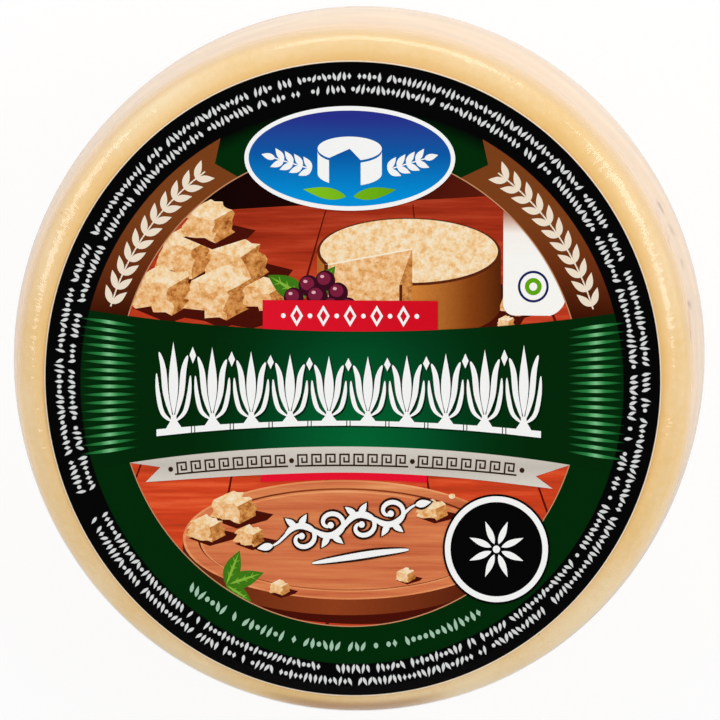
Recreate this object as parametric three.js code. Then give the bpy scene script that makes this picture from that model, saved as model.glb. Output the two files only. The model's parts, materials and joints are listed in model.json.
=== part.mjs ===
// A small parmesan wheel in tight clear film, with a round printed label on its upper face.
// Millimetres, +Z up. The wheel stands on its lower face at z = 0, centred on the Z axis.
import * as THREE from 'three';

// The wheel, measured over the film.
const WHEEL_HEIGHT = 84;
const WHEEL_HALF_WIDTH = 103.5;
const WHEEL_HALF_DEPTH = 105.3;
const SIDE_BULGE = 2.5;
const SHOULDER_REACH = 10;
const SHOULDER_DROP = 11;

// The side is a little uneven: each wave gives its lobes, its depth and where it starts,
// and twist says how far it turns between the lower and the upper face.
const SIDE_WAVES = [
  { lobes: 3, depth: 0.17, start: 28, twist: 50 },
  { lobes: 4, depth: 0.13, start: -42, twist: -70 },
  { lobes: 5, depth: 0.14, start: -17, twist: 40 },
];

// The label, a thin oval sheet that lies off centre and bends down over the shoulder.
const LABEL_HALF_WIDTH = 90.6;
const LABEL_HALF_DEPTH = 94;
const LABEL_OFFSET_X = -0.3;
const LABEL_OFFSET_Y = -2.1;
const LABEL_THICKNESS = 0.3;
const LABEL_GAP = 0.3;
const LABEL_RINGS = [0.9, 0.94, 0.97, 1];

// How finely the round forms are divided.
const TURN_STEPS = 96;
const SHOULDER_STEPS = 6;
const SIDE_STEPS = 6;

const FACE_HALF_WIDTH = WHEEL_HALF_WIDTH - SIDE_BULGE - SHOULDER_REACH;
const OVAL = WHEEL_HALF_DEPTH / WHEEL_HALF_WIDTH;

const filmOverCheese = new THREE.MeshStandardMaterial({
  color: 0xecc98c,
  roughness: 0.35,
  metalness: 0,
});
const printedPaper = new THREE.MeshStandardMaterial({
  color: 0x0d2e12,
  roughness: 0.5,
  metalness: 0,
});

// Half the wheel's section from the lower face's middle to the upper face's middle:
// flat faces, quarter-oval shoulders and a side that swells towards its middle.
function wheelSection() {
  const middle = WHEEL_HEIGHT / 2;
  const sideHalf = middle - SHOULDER_DROP;
  const shoulder = [];
  for (let i = 0; i < SHOULDER_STEPS; i += 1) {
    const angle = (Math.PI / 2) * (i / SHOULDER_STEPS);
    shoulder.push(new THREE.Vector2(
      FACE_HALF_WIDTH + SHOULDER_REACH * Math.sin(angle),
      sideHalf + SHOULDER_DROP * Math.cos(angle),
    ));
  }
  const side = [];
  for (let i = 0; i <= SIDE_STEPS; i += 1) {
    const height = sideHalf * (1 - (2 * i) / SIDE_STEPS);
    const swell = SIDE_BULGE * (1 - (height / sideHalf) ** 2);
    side.push(new THREE.Vector2(FACE_HALF_WIDTH + SHOULDER_REACH + swell, height));
  }
  const lowerShoulder = shoulder.map((point) => new THREE.Vector2(point.x, -point.y)).reverse();
  const outline = [...shoulder, ...side, ...lowerShoulder].reverse();
  const section = outline.map((point) => new THREE.Vector2(point.x, middle + point.y));
  return [new THREE.Vector2(0, 0), ...section, new THREE.Vector2(0, WHEEL_HEIGHT)];
}

// How much larger the wheel is than its plain oval, at an angle and a height.
function unevenness(angle, height) {
  let depth = 0;
  for (const wave of SIDE_WAVES) {
    const turn = wave.start + wave.twist * (height / WHEEL_HEIGHT);
    depth += wave.depth * Math.cos(wave.lobes * (angle - THREE.MathUtils.degToRad(turn)));
  }
  return 1 + depth / WHEEL_HALF_WIDTH;
}

// The height of the wheel's upper surface over a point of the plan.
function faceHeight(x, y) {
  const roundY = y / OVAL;
  const angle = Math.atan2(roundY, x);
  const radius = Math.hypot(x, roundY) / unevenness(angle, WHEEL_HEIGHT);
  const past = Math.max(0, radius - FACE_HALF_WIDTH) / SHOULDER_REACH;
  return WHEEL_HEIGHT - SHOULDER_DROP * (1 - Math.sqrt(1 - past ** 2));
}

// Turns a section about Z, closes it, and passes each point through a function.
function turned(section, shapePoint) {
  const geometry = new THREE.LatheGeometry(section, TURN_STEPS);
  geometry.rotateX(Math.PI / 2);
  const position = geometry.getAttribute('position');
  const point = new THREE.Vector3();
  for (let i = 0; i < position.count; i += 1) {
    point.fromBufferAttribute(position, i);
    shapePoint(point);
    position.setXYZ(i, point.x, point.y, point.z);
  }
  geometry.computeVertexNormals();
  return geometry;
}

function makeWheel() {
  const geometry = turned(wheelSection(), (point) => {
    const size = unevenness(Math.atan2(point.y, point.x), point.z);
    point.x *= size;
    point.y *= size * OVAL;
  });
  const wheel = new THREE.Mesh(geometry, filmOverCheese);
  wheel.name = 'wrapped_cheese_wheel';
  return wheel;
}

function makeLabel() {
  const top = LABEL_RINGS.map((ring) => new THREE.Vector2(ring, LABEL_THICKNESS)).reverse();
  const bottom = LABEL_RINGS.map((ring) => new THREE.Vector2(ring, 0));
  const section = [
    new THREE.Vector2(0, 0),
    ...bottom,
    ...top,
    new THREE.Vector2(0, LABEL_THICKNESS),
  ];
  const geometry = turned(section, (point) => {
    point.x = LABEL_OFFSET_X + LABEL_HALF_WIDTH * point.x;
    point.y = LABEL_OFFSET_Y + LABEL_HALF_DEPTH * point.y;
    point.z += LABEL_GAP + faceHeight(point.x, point.y);
  });
  const label = new THREE.Mesh(geometry, printedPaper);
  label.name = 'label';
  return label;
}

const cheese = new THREE.Group();
cheese.name = 'labelled_cheese_wheel';
cheese.add(makeWheel(), makeLabel());

export default cheese;
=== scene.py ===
# %% [markdown]
# A small parmesan wheel in tight clear film, with a round printed label on its upper face.
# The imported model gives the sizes. This file dresses it: the cheese, the film drawn over
# it, and the label with its print laid on in thin layers of ink.
# Everything is in metres. MM turns the millimetres that a maker thinks in into metres.

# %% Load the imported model
import json
import math
import random

import bmesh
import bpy
import numpy as np
from mathutils import Matrix, Vector, geometry

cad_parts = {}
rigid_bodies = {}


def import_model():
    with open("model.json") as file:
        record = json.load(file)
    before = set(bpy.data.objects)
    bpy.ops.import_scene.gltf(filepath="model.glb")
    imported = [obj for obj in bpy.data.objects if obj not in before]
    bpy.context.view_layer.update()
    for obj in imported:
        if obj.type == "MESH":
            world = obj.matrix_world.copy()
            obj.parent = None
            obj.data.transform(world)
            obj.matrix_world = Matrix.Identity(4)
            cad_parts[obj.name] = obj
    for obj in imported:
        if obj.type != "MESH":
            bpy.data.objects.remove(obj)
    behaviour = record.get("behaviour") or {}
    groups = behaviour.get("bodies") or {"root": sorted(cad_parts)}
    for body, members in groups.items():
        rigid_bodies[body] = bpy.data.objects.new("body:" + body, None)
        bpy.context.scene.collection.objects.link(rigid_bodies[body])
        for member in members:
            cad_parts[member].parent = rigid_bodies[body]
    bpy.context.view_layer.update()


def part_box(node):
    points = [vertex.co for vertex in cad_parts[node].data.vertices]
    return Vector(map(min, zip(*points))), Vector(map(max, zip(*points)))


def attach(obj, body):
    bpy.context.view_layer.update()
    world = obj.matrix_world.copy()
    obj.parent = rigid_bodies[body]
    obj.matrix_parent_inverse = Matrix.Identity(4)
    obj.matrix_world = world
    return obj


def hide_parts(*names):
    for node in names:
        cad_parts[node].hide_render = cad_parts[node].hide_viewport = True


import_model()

MM = 0.001

# %% [markdown]
# A few driving sizes give the whole wheel: a flat face, a quarter-round shoulder and a
# side that swells a little. Its outline seen from above isn't quite round, so the depth is
# the width times OVAL, and three slow waves run round the side, as on a pressed cheese.

# %% The wheel's driving dimensions
WHEEL_HEIGHT = 84 * MM
WHEEL_HALF_WIDTH = 103.5 * MM
WHEEL_HALF_DEPTH = 105.3 * MM
OVAL = WHEEL_HALF_DEPTH / WHEEL_HALF_WIDTH
SIDE_BULGE = 2.5 * MM
SHOULDER_REACH = 10 * MM
SHOULDER_DROP = 11 * MM
FACE_HALF_WIDTH = WHEEL_HALF_WIDTH - SIDE_BULGE - SHOULDER_REACH
SIDE_WAVES = (
    {"lobes": 3, "depth": 0.17 * MM, "start": 28, "twist": 50},
    {"lobes": 4, "depth": 0.13 * MM, "start": -42, "twist": -70},
    {"lobes": 5, "depth": 0.14 * MM, "start": -17, "twist": 40},
)
wheel_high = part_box("wrapped_cheese_wheel")[1]
print("the wheel's height differs from the packed one by",
      round((wheel_high.z - WHEEL_HEIGHT) / MM, 3), "mm")

# %% [markdown]
# In Blender an object is a place in the scene that holds some data, such as a mesh, a curve
# or a camera. One helper makes the object and links it into the scene.

# %% New objects
def add_object(name, data):
    """An object in the scene that holds some data."""
    made = bpy.data.objects.new(name, data)
    bpy.context.scene.collection.objects.link(made)
    return made


def curve_object(name, lines):
    """A curve object with one straight-sided spline for each line of places, in metres."""
    curve = bpy.data.curves.new(name, "CURVE")
    curve.dimensions = "3D"
    for line in lines:
        spline = curve.splines.new("POLY")
        spline.points.add(len(line) - 1)
        for point, place in zip(spline.points, line):
            point.co = (*place, 1)
    return add_object(name, curve)


# %% [markdown]
# The camera comes next, because every later choice is judged through it. The photo was
# taken from nearly straight above, so an upward look would be undefined with the usual
# track constraint. The camera's three axes are worked out instead, and put in its matrix.
# It leans a little towards the top of the picture and to the right, which is why more of
# the side shows there.

# %% Camera
CAMERA_LEAN_RIGHT = math.radians(2.904)
CAMERA_LEAN_UP = math.radians(6.883)
CAMERA_DISTANCE = 1.8
CAMERA_LENS_MM = 306.05
LOOK_AT = Vector((2.01 * MM, 3.98 * MM, WHEEL_HEIGHT))

towards_camera = Vector((math.tan(CAMERA_LEAN_RIGHT), math.tan(CAMERA_LEAN_UP), 1)).normalized()
camera_up = (Vector((0, 1, 0)) - towards_camera * towards_camera.y).normalized()
camera_right = camera_up.cross(towards_camera)

camera_data = bpy.data.cameras.new("photo_camera")
camera_data.lens = CAMERA_LENS_MM
camera_data.sensor_width = 36
camera_data.clip_start = 0.1
camera_data.clip_end = 20
camera = add_object("photo_camera", camera_data)
camera_place = Matrix((camera_right, camera_up, towards_camera)).transposed().to_4x4()
camera_place.translation = LOOK_AT + towards_camera * CAMERA_DISTANCE
camera.matrix_world = camera_place
bpy.context.scene.camera = camera
print("the camera stands", round(CAMERA_DISTANCE, 2), "m above the label")

# %% [markdown]
# A shader or a geometry tree is a drawing made of nodes and wires. These short helpers
# place a node, wire a value or another node's output into it, and do sums, so that each
# tree below reads like the recipe that it is.

# %% Helpers for node trees
def feed(tree, socket, value):
    """Wires an output into a socket, or sets the socket to a plain value."""
    if isinstance(value, bpy.types.NodeSocket):
        tree.links.new(value, socket)
    else:
        socket.default_value = value


def node(tree, kind, inputs=None, **settings):
    """Adds a node, with its settings and its inputs by name or number."""
    made = tree.nodes.new(kind)
    for name, value in settings.items():
        setattr(made, name, value)
    for name, value in (inputs or {}).items():
        feed(tree, made.inputs[name], value)
    return made


def sums(tree, operation, *values):
    """One Math node, and its result."""
    return node(tree, "ShaderNodeMath", dict(enumerate(values)), operation=operation).outputs[0]


def vector_sums(tree, operation, *values, out=0):
    """One Vector Math node, and its result."""
    made = node(tree, "ShaderNodeVectorMath", operation=operation)
    for place, value in enumerate(values):
        feed(tree, made.inputs[place], value)
    return made.outputs[out]


def product(tree, first, *others):
    """Values multiplied, one after the other."""
    for value in others:
        first = sums(tree, "MULTIPLY", first, value)
    return first


def split(tree, vector):
    """A vector's three parts, by the names X, Y and Z."""
    return node(tree, "ShaderNodeSeparateXYZ", {0: vector}).outputs


def joined(tree, x=0.0, y=0.0, z=0.0):
    """A vector made from three parts."""
    return node(tree, "ShaderNodeCombineXYZ", {"X": x, "Y": y, "Z": z}).outputs[0]


def mapped(tree, value, low, high, to_low=0.0, to_high=1.0):
    """Turns a range of one value into another range, smoothly, and holds it there."""
    inputs = {"Value": value, "From Min": low, "From Max": high, "To Min": to_low, "To Max": to_high}
    return node(tree, "ShaderNodeMapRange", inputs, interpolation_type="SMOOTHSTEP").outputs[0]


def colour(hex_code):
    """A printer's hex colour as Blender's linear red, green, blue and alpha."""
    parts = [int(hex_code[i:i + 2], 16) / 255 for i in (0, 2, 4)]
    linear = [c / 12.92 if c <= 0.04045 else ((c + 0.055) / 1.055) ** 2.4 for c in parts]
    return (*linear, 1.0)


def new_tree(name, kind, inputs, result):
    """A reusable tree with named inputs and one result, and the sockets that bring them in."""
    tree = bpy.data.node_groups.new(name, kind)
    for label, value_kind in inputs.items():
        tree.interface.new_socket(label, in_out="INPUT", socket_type="NodeSocket" + value_kind)
    tree.interface.new_socket(result, in_out="OUTPUT", socket_type="NodeSocket" + result)
    return tree, tree.nodes.new("NodeGroupInput").outputs


def socket_id(tree, name):
    """The identifier of a tree's input, which a modifier is set by."""
    sockets = tree.interface.items_tree
    return next(s.identifier for s in sockets if s.name == name and s.in_out == "INPUT")


print("a printer's mid grey is", round(colour("808080")[0], 3), "in linear light")

# %% [markdown]
# The wheel is a main form that follows a rule: half a section, turned round. Geometry
# Nodes can do the turning, so the cheese and the film share one tree and differ in their
# inputs. A grid is the sheet of paper that gets rolled up: one way along it is the angle,
# and the other way picks the section's points in turn. Merging by distance closes the
# seam and the two poles. The slight waves of the side are added to the radius.

# %% The section of the wheel
FACE_STEPS = 16
SHOULDER_STEPS = 26
SIDE_STEPS = 44


def section_points(inset):
    """Half the section, from the lower pole to the upper one, set in from the film's face."""
    middle = WHEEL_HEIGHT / 2
    side_half = middle - SHOULDER_DROP
    shoulder, side = [], []
    for i in range(SHOULDER_STEPS):
        angle = math.pi / 2 * i / SHOULDER_STEPS
        shoulder.append((FACE_HALF_WIDTH + (SHOULDER_REACH - inset) * math.sin(angle),
                         side_half + (SHOULDER_DROP - inset) * math.cos(angle)))
    for i in range(SIDE_STEPS + 1):
        height = side_half * (1 - 2 * i / SIDE_STEPS)
        swell = SIDE_BULGE * (1 - (height / side_half) ** 2)
        side.append((FACE_HALF_WIDTH + SHOULDER_REACH - inset + swell, height))
    face = [(FACE_HALF_WIDTH * i / FACE_STEPS, middle - inset) for i in range(FACE_STEPS)]
    upper = face + shoulder
    lower = [(r, -z) for r, z in reversed(upper)]
    outline = [(r, z) for r, z in upper + side + lower]
    return [(r, z + middle) for r, z in reversed(outline)]


print("half a section has", len(section_points(0)), "points")

# %% The tree that turns a section into a wheel
REST_GAP = 0.02 * MM
SEAM_MERGE = 0.002 * MM


def wheel_tree():
    """Builds the geometry tree: roll up a grid, wave its side, then press relief into it."""
    tree, given = new_tree("turned_wheel", "GeometryNodeTree", {
        "Section": "Object", "Steps Round": "Int", "Section Points": "Int", "Dent Depth": "Float",
        "Dent Size": "Float", "Grain Depth": "Float", "Grain Size": "Float", "Pleat Depth": "Float",
        "Seed": "Float", "Material": "Material"}, "Geometry")
    section = node(tree, "GeometryNodeObjectInfo", {"Object": given["Section"]})
    round_count = sums(tree, "ADD", given["Steps Round"], 1)
    grid = node(tree, "GeometryNodeMeshGrid", {"Size X": 1.0, "Size Y": 1.0, "Vertices X": round_count,
                                               "Vertices Y": given["Section Points"]})
    place = node(tree, "GeometryNodeInputPosition").outputs[0]
    across = split(tree, place)
    angle = product(tree, sums(tree, "ADD", across["X"], 0.5), math.tau)
    row = product(tree, sums(tree, "ADD", across["Y"], 0.5),
                  sums(tree, "SUBTRACT", given["Section Points"], 1))
    picked = node(tree, "GeometryNodeSampleIndex", {"Geometry": section.outputs["Geometry"],
                  "Index": sums(tree, "ROUND", row)}, data_type="FLOAT_VECTOR", domain="POINT")
    feed(tree, picked.inputs["Value"], node(tree, "GeometryNodeInputPosition").outputs[0])
    at = split(tree, picked.outputs[0])
    depth = 0.0
    for wave in SIDE_WAVES:
        turn = sums(tree, "MULTIPLY_ADD", at["Z"],
                    math.radians(wave["twist"]) / WHEEL_HEIGHT, math.radians(wave["start"]))
        past_start = sums(tree, "SUBTRACT", angle, turn)
        lobe = sums(tree, "COSINE", product(tree, past_start, wave["lobes"]))
        depth = sums(tree, "MULTIPLY_ADD", lobe, wave["depth"] / WHEEL_HALF_WIDTH, depth)
    radius = product(tree, at["X"], sums(tree, "ADD", depth, 1))
    x = product(tree, radius, sums(tree, "COSINE", angle))
    y = product(tree, radius, sums(tree, "SINE", angle), OVAL)
    rolled = joined(tree, x, y, at["Z"])
    wheel = node(tree, "GeometryNodeSetPosition", {
        "Geometry": grid.outputs["Mesh"], "Position": rolled})
    closed = node(tree, "GeometryNodeMergeByDistance", {
        "Geometry": wheel.outputs[0], "Distance": SEAM_MERGE})
    relief = relief_of_wheel(tree, given)
    pressed = node(tree, "GeometryNodeSetPosition", {"Geometry": closed.outputs[0], "Offset": relief})
    lowest = vector_sums(tree, "MAXIMUM", node(tree, "GeometryNodeInputPosition").outputs[0],
                         (-1.0, -1.0, REST_GAP))
    resting = node(tree, "GeometryNodeSetPosition", {
        "Geometry": pressed.outputs[0], "Position": lowest})
    shaded = node(tree, "GeometryNodeSetShadeSmooth", {"Geometry": resting.outputs[0]})
    real = node(tree, "GeometryNodeRealizeInstances", {"Geometry": shaded.outputs[0]})
    painted = node(tree, "GeometryNodeSetMaterial", {
        "Geometry": real.outputs[0], "Material": given["Material"]})
    feed(tree, tree.nodes.new("NodeGroupOutput").inputs[0], painted.outputs[0])
    return tree


def noise_about_middle(tree, vector, scale, detail=2.0, seed=0.0):
    """Noise from minus a half to a half, at a place in the tree."""
    inputs = {"Vector": vector, "Scale": scale, "Detail": detail, "W": seed}
    made = node(tree, "ShaderNodeTexNoise", inputs, noise_dimensions="4D")
    return sums(tree, "SUBTRACT", made.outputs[0], 0.5)


PLEAT_COUNT_SCALE = 34
PLEAT_LOW = 3 * MM
PLEAT_HIGH = 26 * MM


def relief_of_wheel(tree, given):
    """The offset along the surface: broad dents, fine grain, and pleats below."""
    place = node(tree, "GeometryNodeInputPosition").outputs[0]
    at = split(tree, place)
    seed = given["Seed"]
    flat = joined(tree, at["X"], at["Y"])
    outward = vector_sums(tree, "NORMALIZE", flat)
    reach = vector_sums(tree, "LENGTH", flat, out=1)
    dent_scale = sums(tree, "DIVIDE", 1.0, given["Dent Size"])
    dents = noise_about_middle(tree, place, dent_scale, 1.0, seed)
    dents = product(tree, dents, given["Dent Depth"])
    grain_scale = sums(tree, "DIVIDE", 1.0, given["Grain Size"])
    grain = noise_about_middle(tree, place, grain_scale, 3.0, seed)
    grain = product(tree, grain, given["Grain Depth"])
    below = mapped(tree, at["Z"], PLEAT_LOW, PLEAT_HIGH, 1.0, 0.0)
    middle_bare = mapped(tree, reach, 0.25 * FACE_HALF_WIDTH, 0.8 * FACE_HALF_WIDTH)
    fan = vector_sums(tree, "MULTIPLY_ADD", place, (0, 0, 30), outward)
    pleats = noise_about_middle(tree, fan, PLEAT_COUNT_SCALE, 1.0, seed)
    pleats = product(tree, pleats, given["Pleat Depth"], below, middle_bare)
    total = sums(tree, "ADD", sums(tree, "ADD", dents, grain), pleats)
    scaled = node(tree, "ShaderNodeVectorMath", operation="SCALE")
    feed(tree, scaled.inputs[0], node(tree, "GeometryNodeInputNormal").outputs[0])
    feed(tree, scaled.inputs["Scale"], total)
    return scaled.outputs[0]


turned_wheel = wheel_tree()
print("the wheel's tree has", len(turned_wheel.nodes), "nodes")

# %% [markdown]
# A geometry tree is a recipe that stays live on its object. The export wants a plain mesh,
# so each tree runs once on an empty carrier, and its evaluated result is kept.

# %% Turning a tree's result into a plain mesh
def run_tree(name, tree, values):
    """Runs a geometry tree on an empty mesh and keeps the result as a plain mesh object."""
    carrier = add_object(name + "_carrier", bpy.data.meshes.new(name + "_carrier"))
    modifier = carrier.modifiers.new("tree", "NODES")
    modifier.node_group = tree
    for input_name, value in values.items():
        modifier[socket_id(tree, input_name)] = value
    carrier.update_tag()
    bpy.context.view_layer.update()
    evaluated = carrier.evaluated_get(bpy.context.evaluated_depsgraph_get())
    mesh = bpy.data.meshes.new_from_object(evaluated)
    mesh.name = name
    bpy.data.objects.remove(carrier)
    return add_object(name, mesh)


def volume_of(piece):
    """The volume inside a closed mesh, which is negative if its faces point inwards."""
    shape = bmesh.new()
    shape.from_mesh(piece.data)
    volume = shape.calc_volume(signed=True)
    shape.free()
    return volume


# %% [markdown]
# The rind of a young hard cheese is smooth, straw-coloured and a little uneven: paler
# clouds, golden clouds and a few tiny brown specks. One noise gives the clouds, a finer
# one the grain, and a Voronoi texture the specks. More tones are masked by where a point
# is: a deeper gold round the label, painted shade as a darker band on the far half of the
# shoulder, and painted shade as a short brown patch at the near edge, with a ragged lower
# side.

# %% The rind's material
def new_material(name):
    """An empty material with its output, ready for nodes."""
    material = bpy.data.materials.new(name)
    material.use_nodes = True
    material.node_tree.nodes.clear()
    output = material.node_tree.nodes.new("ShaderNodeOutputMaterial")
    return material, material.node_tree, output


def ramp(tree, value, stops):
    """A colour ramp with stops as (place, colour or hex code), and its colour."""
    stops = [(place, colour(tone) if isinstance(tone, str) else tone) for place, tone in stops]
    made = node(tree, "ShaderNodeValToRGB", {0: value})
    elements = made.color_ramp.elements
    while len(elements) > 1:
        elements.remove(elements[-1])
    elements[0].position, elements[0].color = stops[0]
    for place, shade in stops[1:]:
        elements.new(place).color = shade
    return made.outputs[0]


def object_place(tree):
    """Where a shading point is, in the object's own metres."""
    return node(tree, "ShaderNodeTexCoord").outputs["Object"]


def noise(tree, vector, size, detail=2.0, roughness=0.5):
    """Noise whose patches are about a size in metres."""
    inputs = {"Vector": vector, "Scale": 1 / size, "Detail": detail, "Roughness": roughness}
    return node(tree, "ShaderNodeTexNoise", inputs).outputs[0]


def mixed(tree, share, first, second, blend="MIX"):
    """Two colours mixed."""
    made = node(tree, "ShaderNodeMix", data_type="RGBA", blend_type=blend)
    feed(tree, made.inputs["Factor"], share)
    feed(tree, made.inputs[6], first)
    feed(tree, made.inputs[7], second)
    return made.outputs[2]


RIND_GOLD = colour("EFC57A")
RIND_STRAW = colour("F3D095")
RIND_PALE = colour("F7DBAA")
RIND_SPECK = colour("A87A45")
RIND_DEEP = colour("FFCB74")
# painted shade: a brown patch at the near edge of the shoulder
NEAR_SHADE_BROWN = colour("A5661C")
# painted shade: a darker band on the far half of the shoulder
RIND_PAINTED_SHADE = colour("E4C088")
NEAR_SHADE_STRENGTH = 0.76
NEAR_SHADE_RAGGED = 16 * MM


def near_edge_painted_shade(tree, place, flat, reach):
    """Painted shade at the near edge: a short stretch of the shoulder darkened to brown."""
    outward = vector_sums(tree, "NORMALIZE", flat)
    towards = vector_sums(tree, "DOT_PRODUCT", outward, (0.0, -1.0, 0.0), out=1)
    stretch = mapped(tree, towards, 0.95, 0.998)
    out_there = mapped(tree, reach, 95.6 * MM, 98.6 * MM)
    height = split(tree, place)["Z"]
    ragged = sums(tree, "MULTIPLY_ADD", noise(tree, place, 9 * MM, 3.0), NEAR_SHADE_RAGGED,
                  -NEAR_SHADE_RAGGED / 2)
    high = mapped(tree, sums(tree, "ADD", height, ragged), 68 * MM, 76 * MM)
    return product(tree, stretch, out_there, high, NEAR_SHADE_STRENGTH)


def far_shoulder_painted_shade(tree, place, reach):
    """Painted shade: a darker band on the far half of the shoulder."""
    inner = mapped(tree, reach, 96.8 * MM, 99 * MM)
    outer = mapped(tree, reach, 101 * MM, 102.2 * MM, 1.0, 0.0)
    far = mapped(tree, split(tree, place)["Y"], -25 * MM, 20 * MM)
    return product(tree, inner, outer, far)


def rind_material():
    """Straw-coloured rind with soft clouds, fine grain and a few specks."""
    material, tree, output = new_material("cheese_rind")
    place = object_place(tree)
    clouds = noise(tree, place, 38 * MM, 2.0)
    grain = noise(tree, place, 2.2 * MM, 4.0, 0.6)
    tone = sums(tree, "MULTIPLY_ADD", grain, 0.3, product(tree, clouds, 0.7))
    base = ramp(tree, tone, ((0.36, RIND_GOLD), (0.5, RIND_STRAW), (0.64, RIND_PALE)))
    flat = vector_sums(tree, "MULTIPLY", place, (1, 1 / OVAL, 0))
    reach = vector_sums(tree, "LENGTH", flat, out=1)
    base = mixed(tree, mapped(tree, reach, 90 * MM, 97 * MM, 0.75, 0.0), base, RIND_DEEP)
    # painted shade: a darker band on the far half of the shoulder
    base = mixed(tree, far_shoulder_painted_shade(tree, place, reach), base, RIND_PAINTED_SHADE)
    # painted shade: the near edge darkened to brown
    base = mixed(tree, near_edge_painted_shade(tree, place, flat, reach), base, NEAR_SHADE_BROWN)
    cells = node(tree, "ShaderNodeTexVoronoi", {"Vector": place, "Scale": 1 / (9 * MM)})
    speck = mapped(tree, cells.outputs["Distance"], 0.03, 0.06, 1.0, 0.0)
    rare = mapped(tree, noise(tree, place, 14 * MM), 0.56, 0.62)
    base = mixed(tree, product(tree, speck, rare, 0.6), base, RIND_SPECK)
    bump = node(tree, "ShaderNodeBump", {"Height": grain, "Strength": 0.25, "Distance": 0.3 * MM})
    roughness = mapped(tree, grain, 0.3, 0.7, 0.42, 0.6)
    surface = node(tree, "ShaderNodeBsdfPrincipled", {"Base Color": base, "Roughness": roughness,
                   "Normal": bump.outputs[0]})
    surface.inputs["Specular IOR Level"].default_value = 0.35
    feed(tree, output.inputs["Surface"], surface.outputs[0])
    return material


# %% [markdown]
# Shrink film is almost nothing: it lets the light through and mirrors a little of the
# room, more so at a flat angle. A Fresnel node mixes a clear shader with a glossy one,
# which is just that. The mirror works on the outer face alone, because light that comes
# back out through so thin a skin isn't trapped in it. A third, pale shader is partly the
# haze of stretched film, in faint streaks, and partly a painted reflection of the bright
# room: it grows round the side and is almost gone at the near edge.
# The bump has three parts: a fine grain, broad waves, and short creases that fan across
# the shoulder. Where the film doubles over, thin dark lines of painted shade tint the
# clear shader.

# %% The film's material
# partly the film's haze, partly a painted reflection of the bright room
HAZE_AND_REFLECTION_TINT = colour("FFE9DD")
CLEAR = colour("FFFFFF")
# painted shade in the lines where the film doubles over
FOLD_SHADE_TINT = colour("A9835C")
FOLD_SIDE = tuple(Vector((0.95, 0.3, 0)).normalized())
FOLD_SHADE_STRENGTH = 0.9


def fold_shade_lines(tree, outward, round_reach, at):
    """Thin dark lines of painted shade where the film doubles over, round the right of the shoulder.

    Noise that is long round the wheel and short across the rim has level lines that run
    round it. A narrow range about the middle value turns them into lines."""
    down = sums(tree, "MULTIPLY_ADD", at["Z"], 0.22, product(tree, round_reach, -1.0))
    across = joined(tree, z=sums(tree, "DIVIDE", down, 2.6 * MM))
    laid = vector_sums(tree, "MULTIPLY_ADD", outward, (2.6, 2.6, 0), across)
    long_noise = noise(tree, laid, 1.0, 1.0)
    off_line = sums(tree, "ABSOLUTE", sums(tree, "SUBTRACT", long_noise, 0.5))
    line = mapped(tree, off_line, 0.008, 0.026, 1.0, 0.0)
    inside = mapped(tree, round_reach, 99.2 * MM, 100.4 * MM)
    above = mapped(tree, at["Z"], WHEEL_HEIGHT - 40 * MM, WHEEL_HEIGHT - 22 * MM)
    facing = mapped(tree, vector_sums(tree, "DOT_PRODUCT", outward, FOLD_SIDE, out=1), 0.9, 0.97)
    broken = mapped(tree, noise(tree, outward, 0.07, 1.0), 0.46, 0.54)
    strength = product(tree, line, inside, facing, above, broken, FOLD_SHADE_STRENGTH)
    return mixed(tree, strength, CLEAR, FOLD_SHADE_TINT)


CREASE_SCALE = 34
CREASE_RANGE = 7 * MM


def crease_patches(tree, outward, at):
    """How deep the short creases over the shoulder are: in patches, most at its left and right."""
    above = mapped(tree, at["Z"], WHEEL_HEIGHT - CREASE_RANGE, WHEEL_HEIGHT - 3 * MM)
    across = split(tree, outward)
    sideways = mapped(tree, sums(tree, "ABSOLUTE", across["X"]), 0.5, 0.95, 1.1, 1.9)
    patches = mapped(tree, noise(tree, outward, 0.22, 1.0), 0.4, 0.55, 0.4, 1.9)
    return product(tree, above, sideways, patches)


HAZE_REFLECTION_START = 97.8 * MM
HAZE_REFLECTION_FULL = 100.6 * MM
HAZE_REFLECTION_MOST = 0.40
HAZE_REFLECTION_WANDER = 2.4 * MM


def haze_and_reflection_share(tree, outward, round_reach, at):
    """Haze and painted reflection: clear on the face, milky past a wavering line on the shoulder."""
    wander = sums(tree, "MULTIPLY_ADD", noise(tree, outward, 0.5, 2.0), HAZE_REFLECTION_WANDER, -HAZE_REFLECTION_WANDER / 2)
    outer = mapped(tree, sums(tree, "ADD", round_reach, wander), HAZE_REFLECTION_START, HAZE_REFLECTION_FULL, 0.05, HAZE_REFLECTION_MOST)
    # painted reflection: the pale veil fades out towards the near edge
    far_side_reflection = mapped(tree, at["Y"], -92 * MM, 5 * MM, 0.04, 1.0)
    bands = joined(tree, z=sums(tree, "DIVIDE", at["Z"], 9 * MM))
    laid = vector_sums(tree, "MULTIPLY_ADD", outward, (3, 3, 0), bands)
    drawn = noise(tree, laid, 1.0, 2.0)
    streaks = mapped(tree, drawn, 0.3, 0.7, 0.86, 1.0)
    return product(tree, outer, far_side_reflection, streaks)


FILM_IOR = 1.65
FILM_ROUGHNESS = 0.15
FINE_SHARE = 0.025


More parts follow.
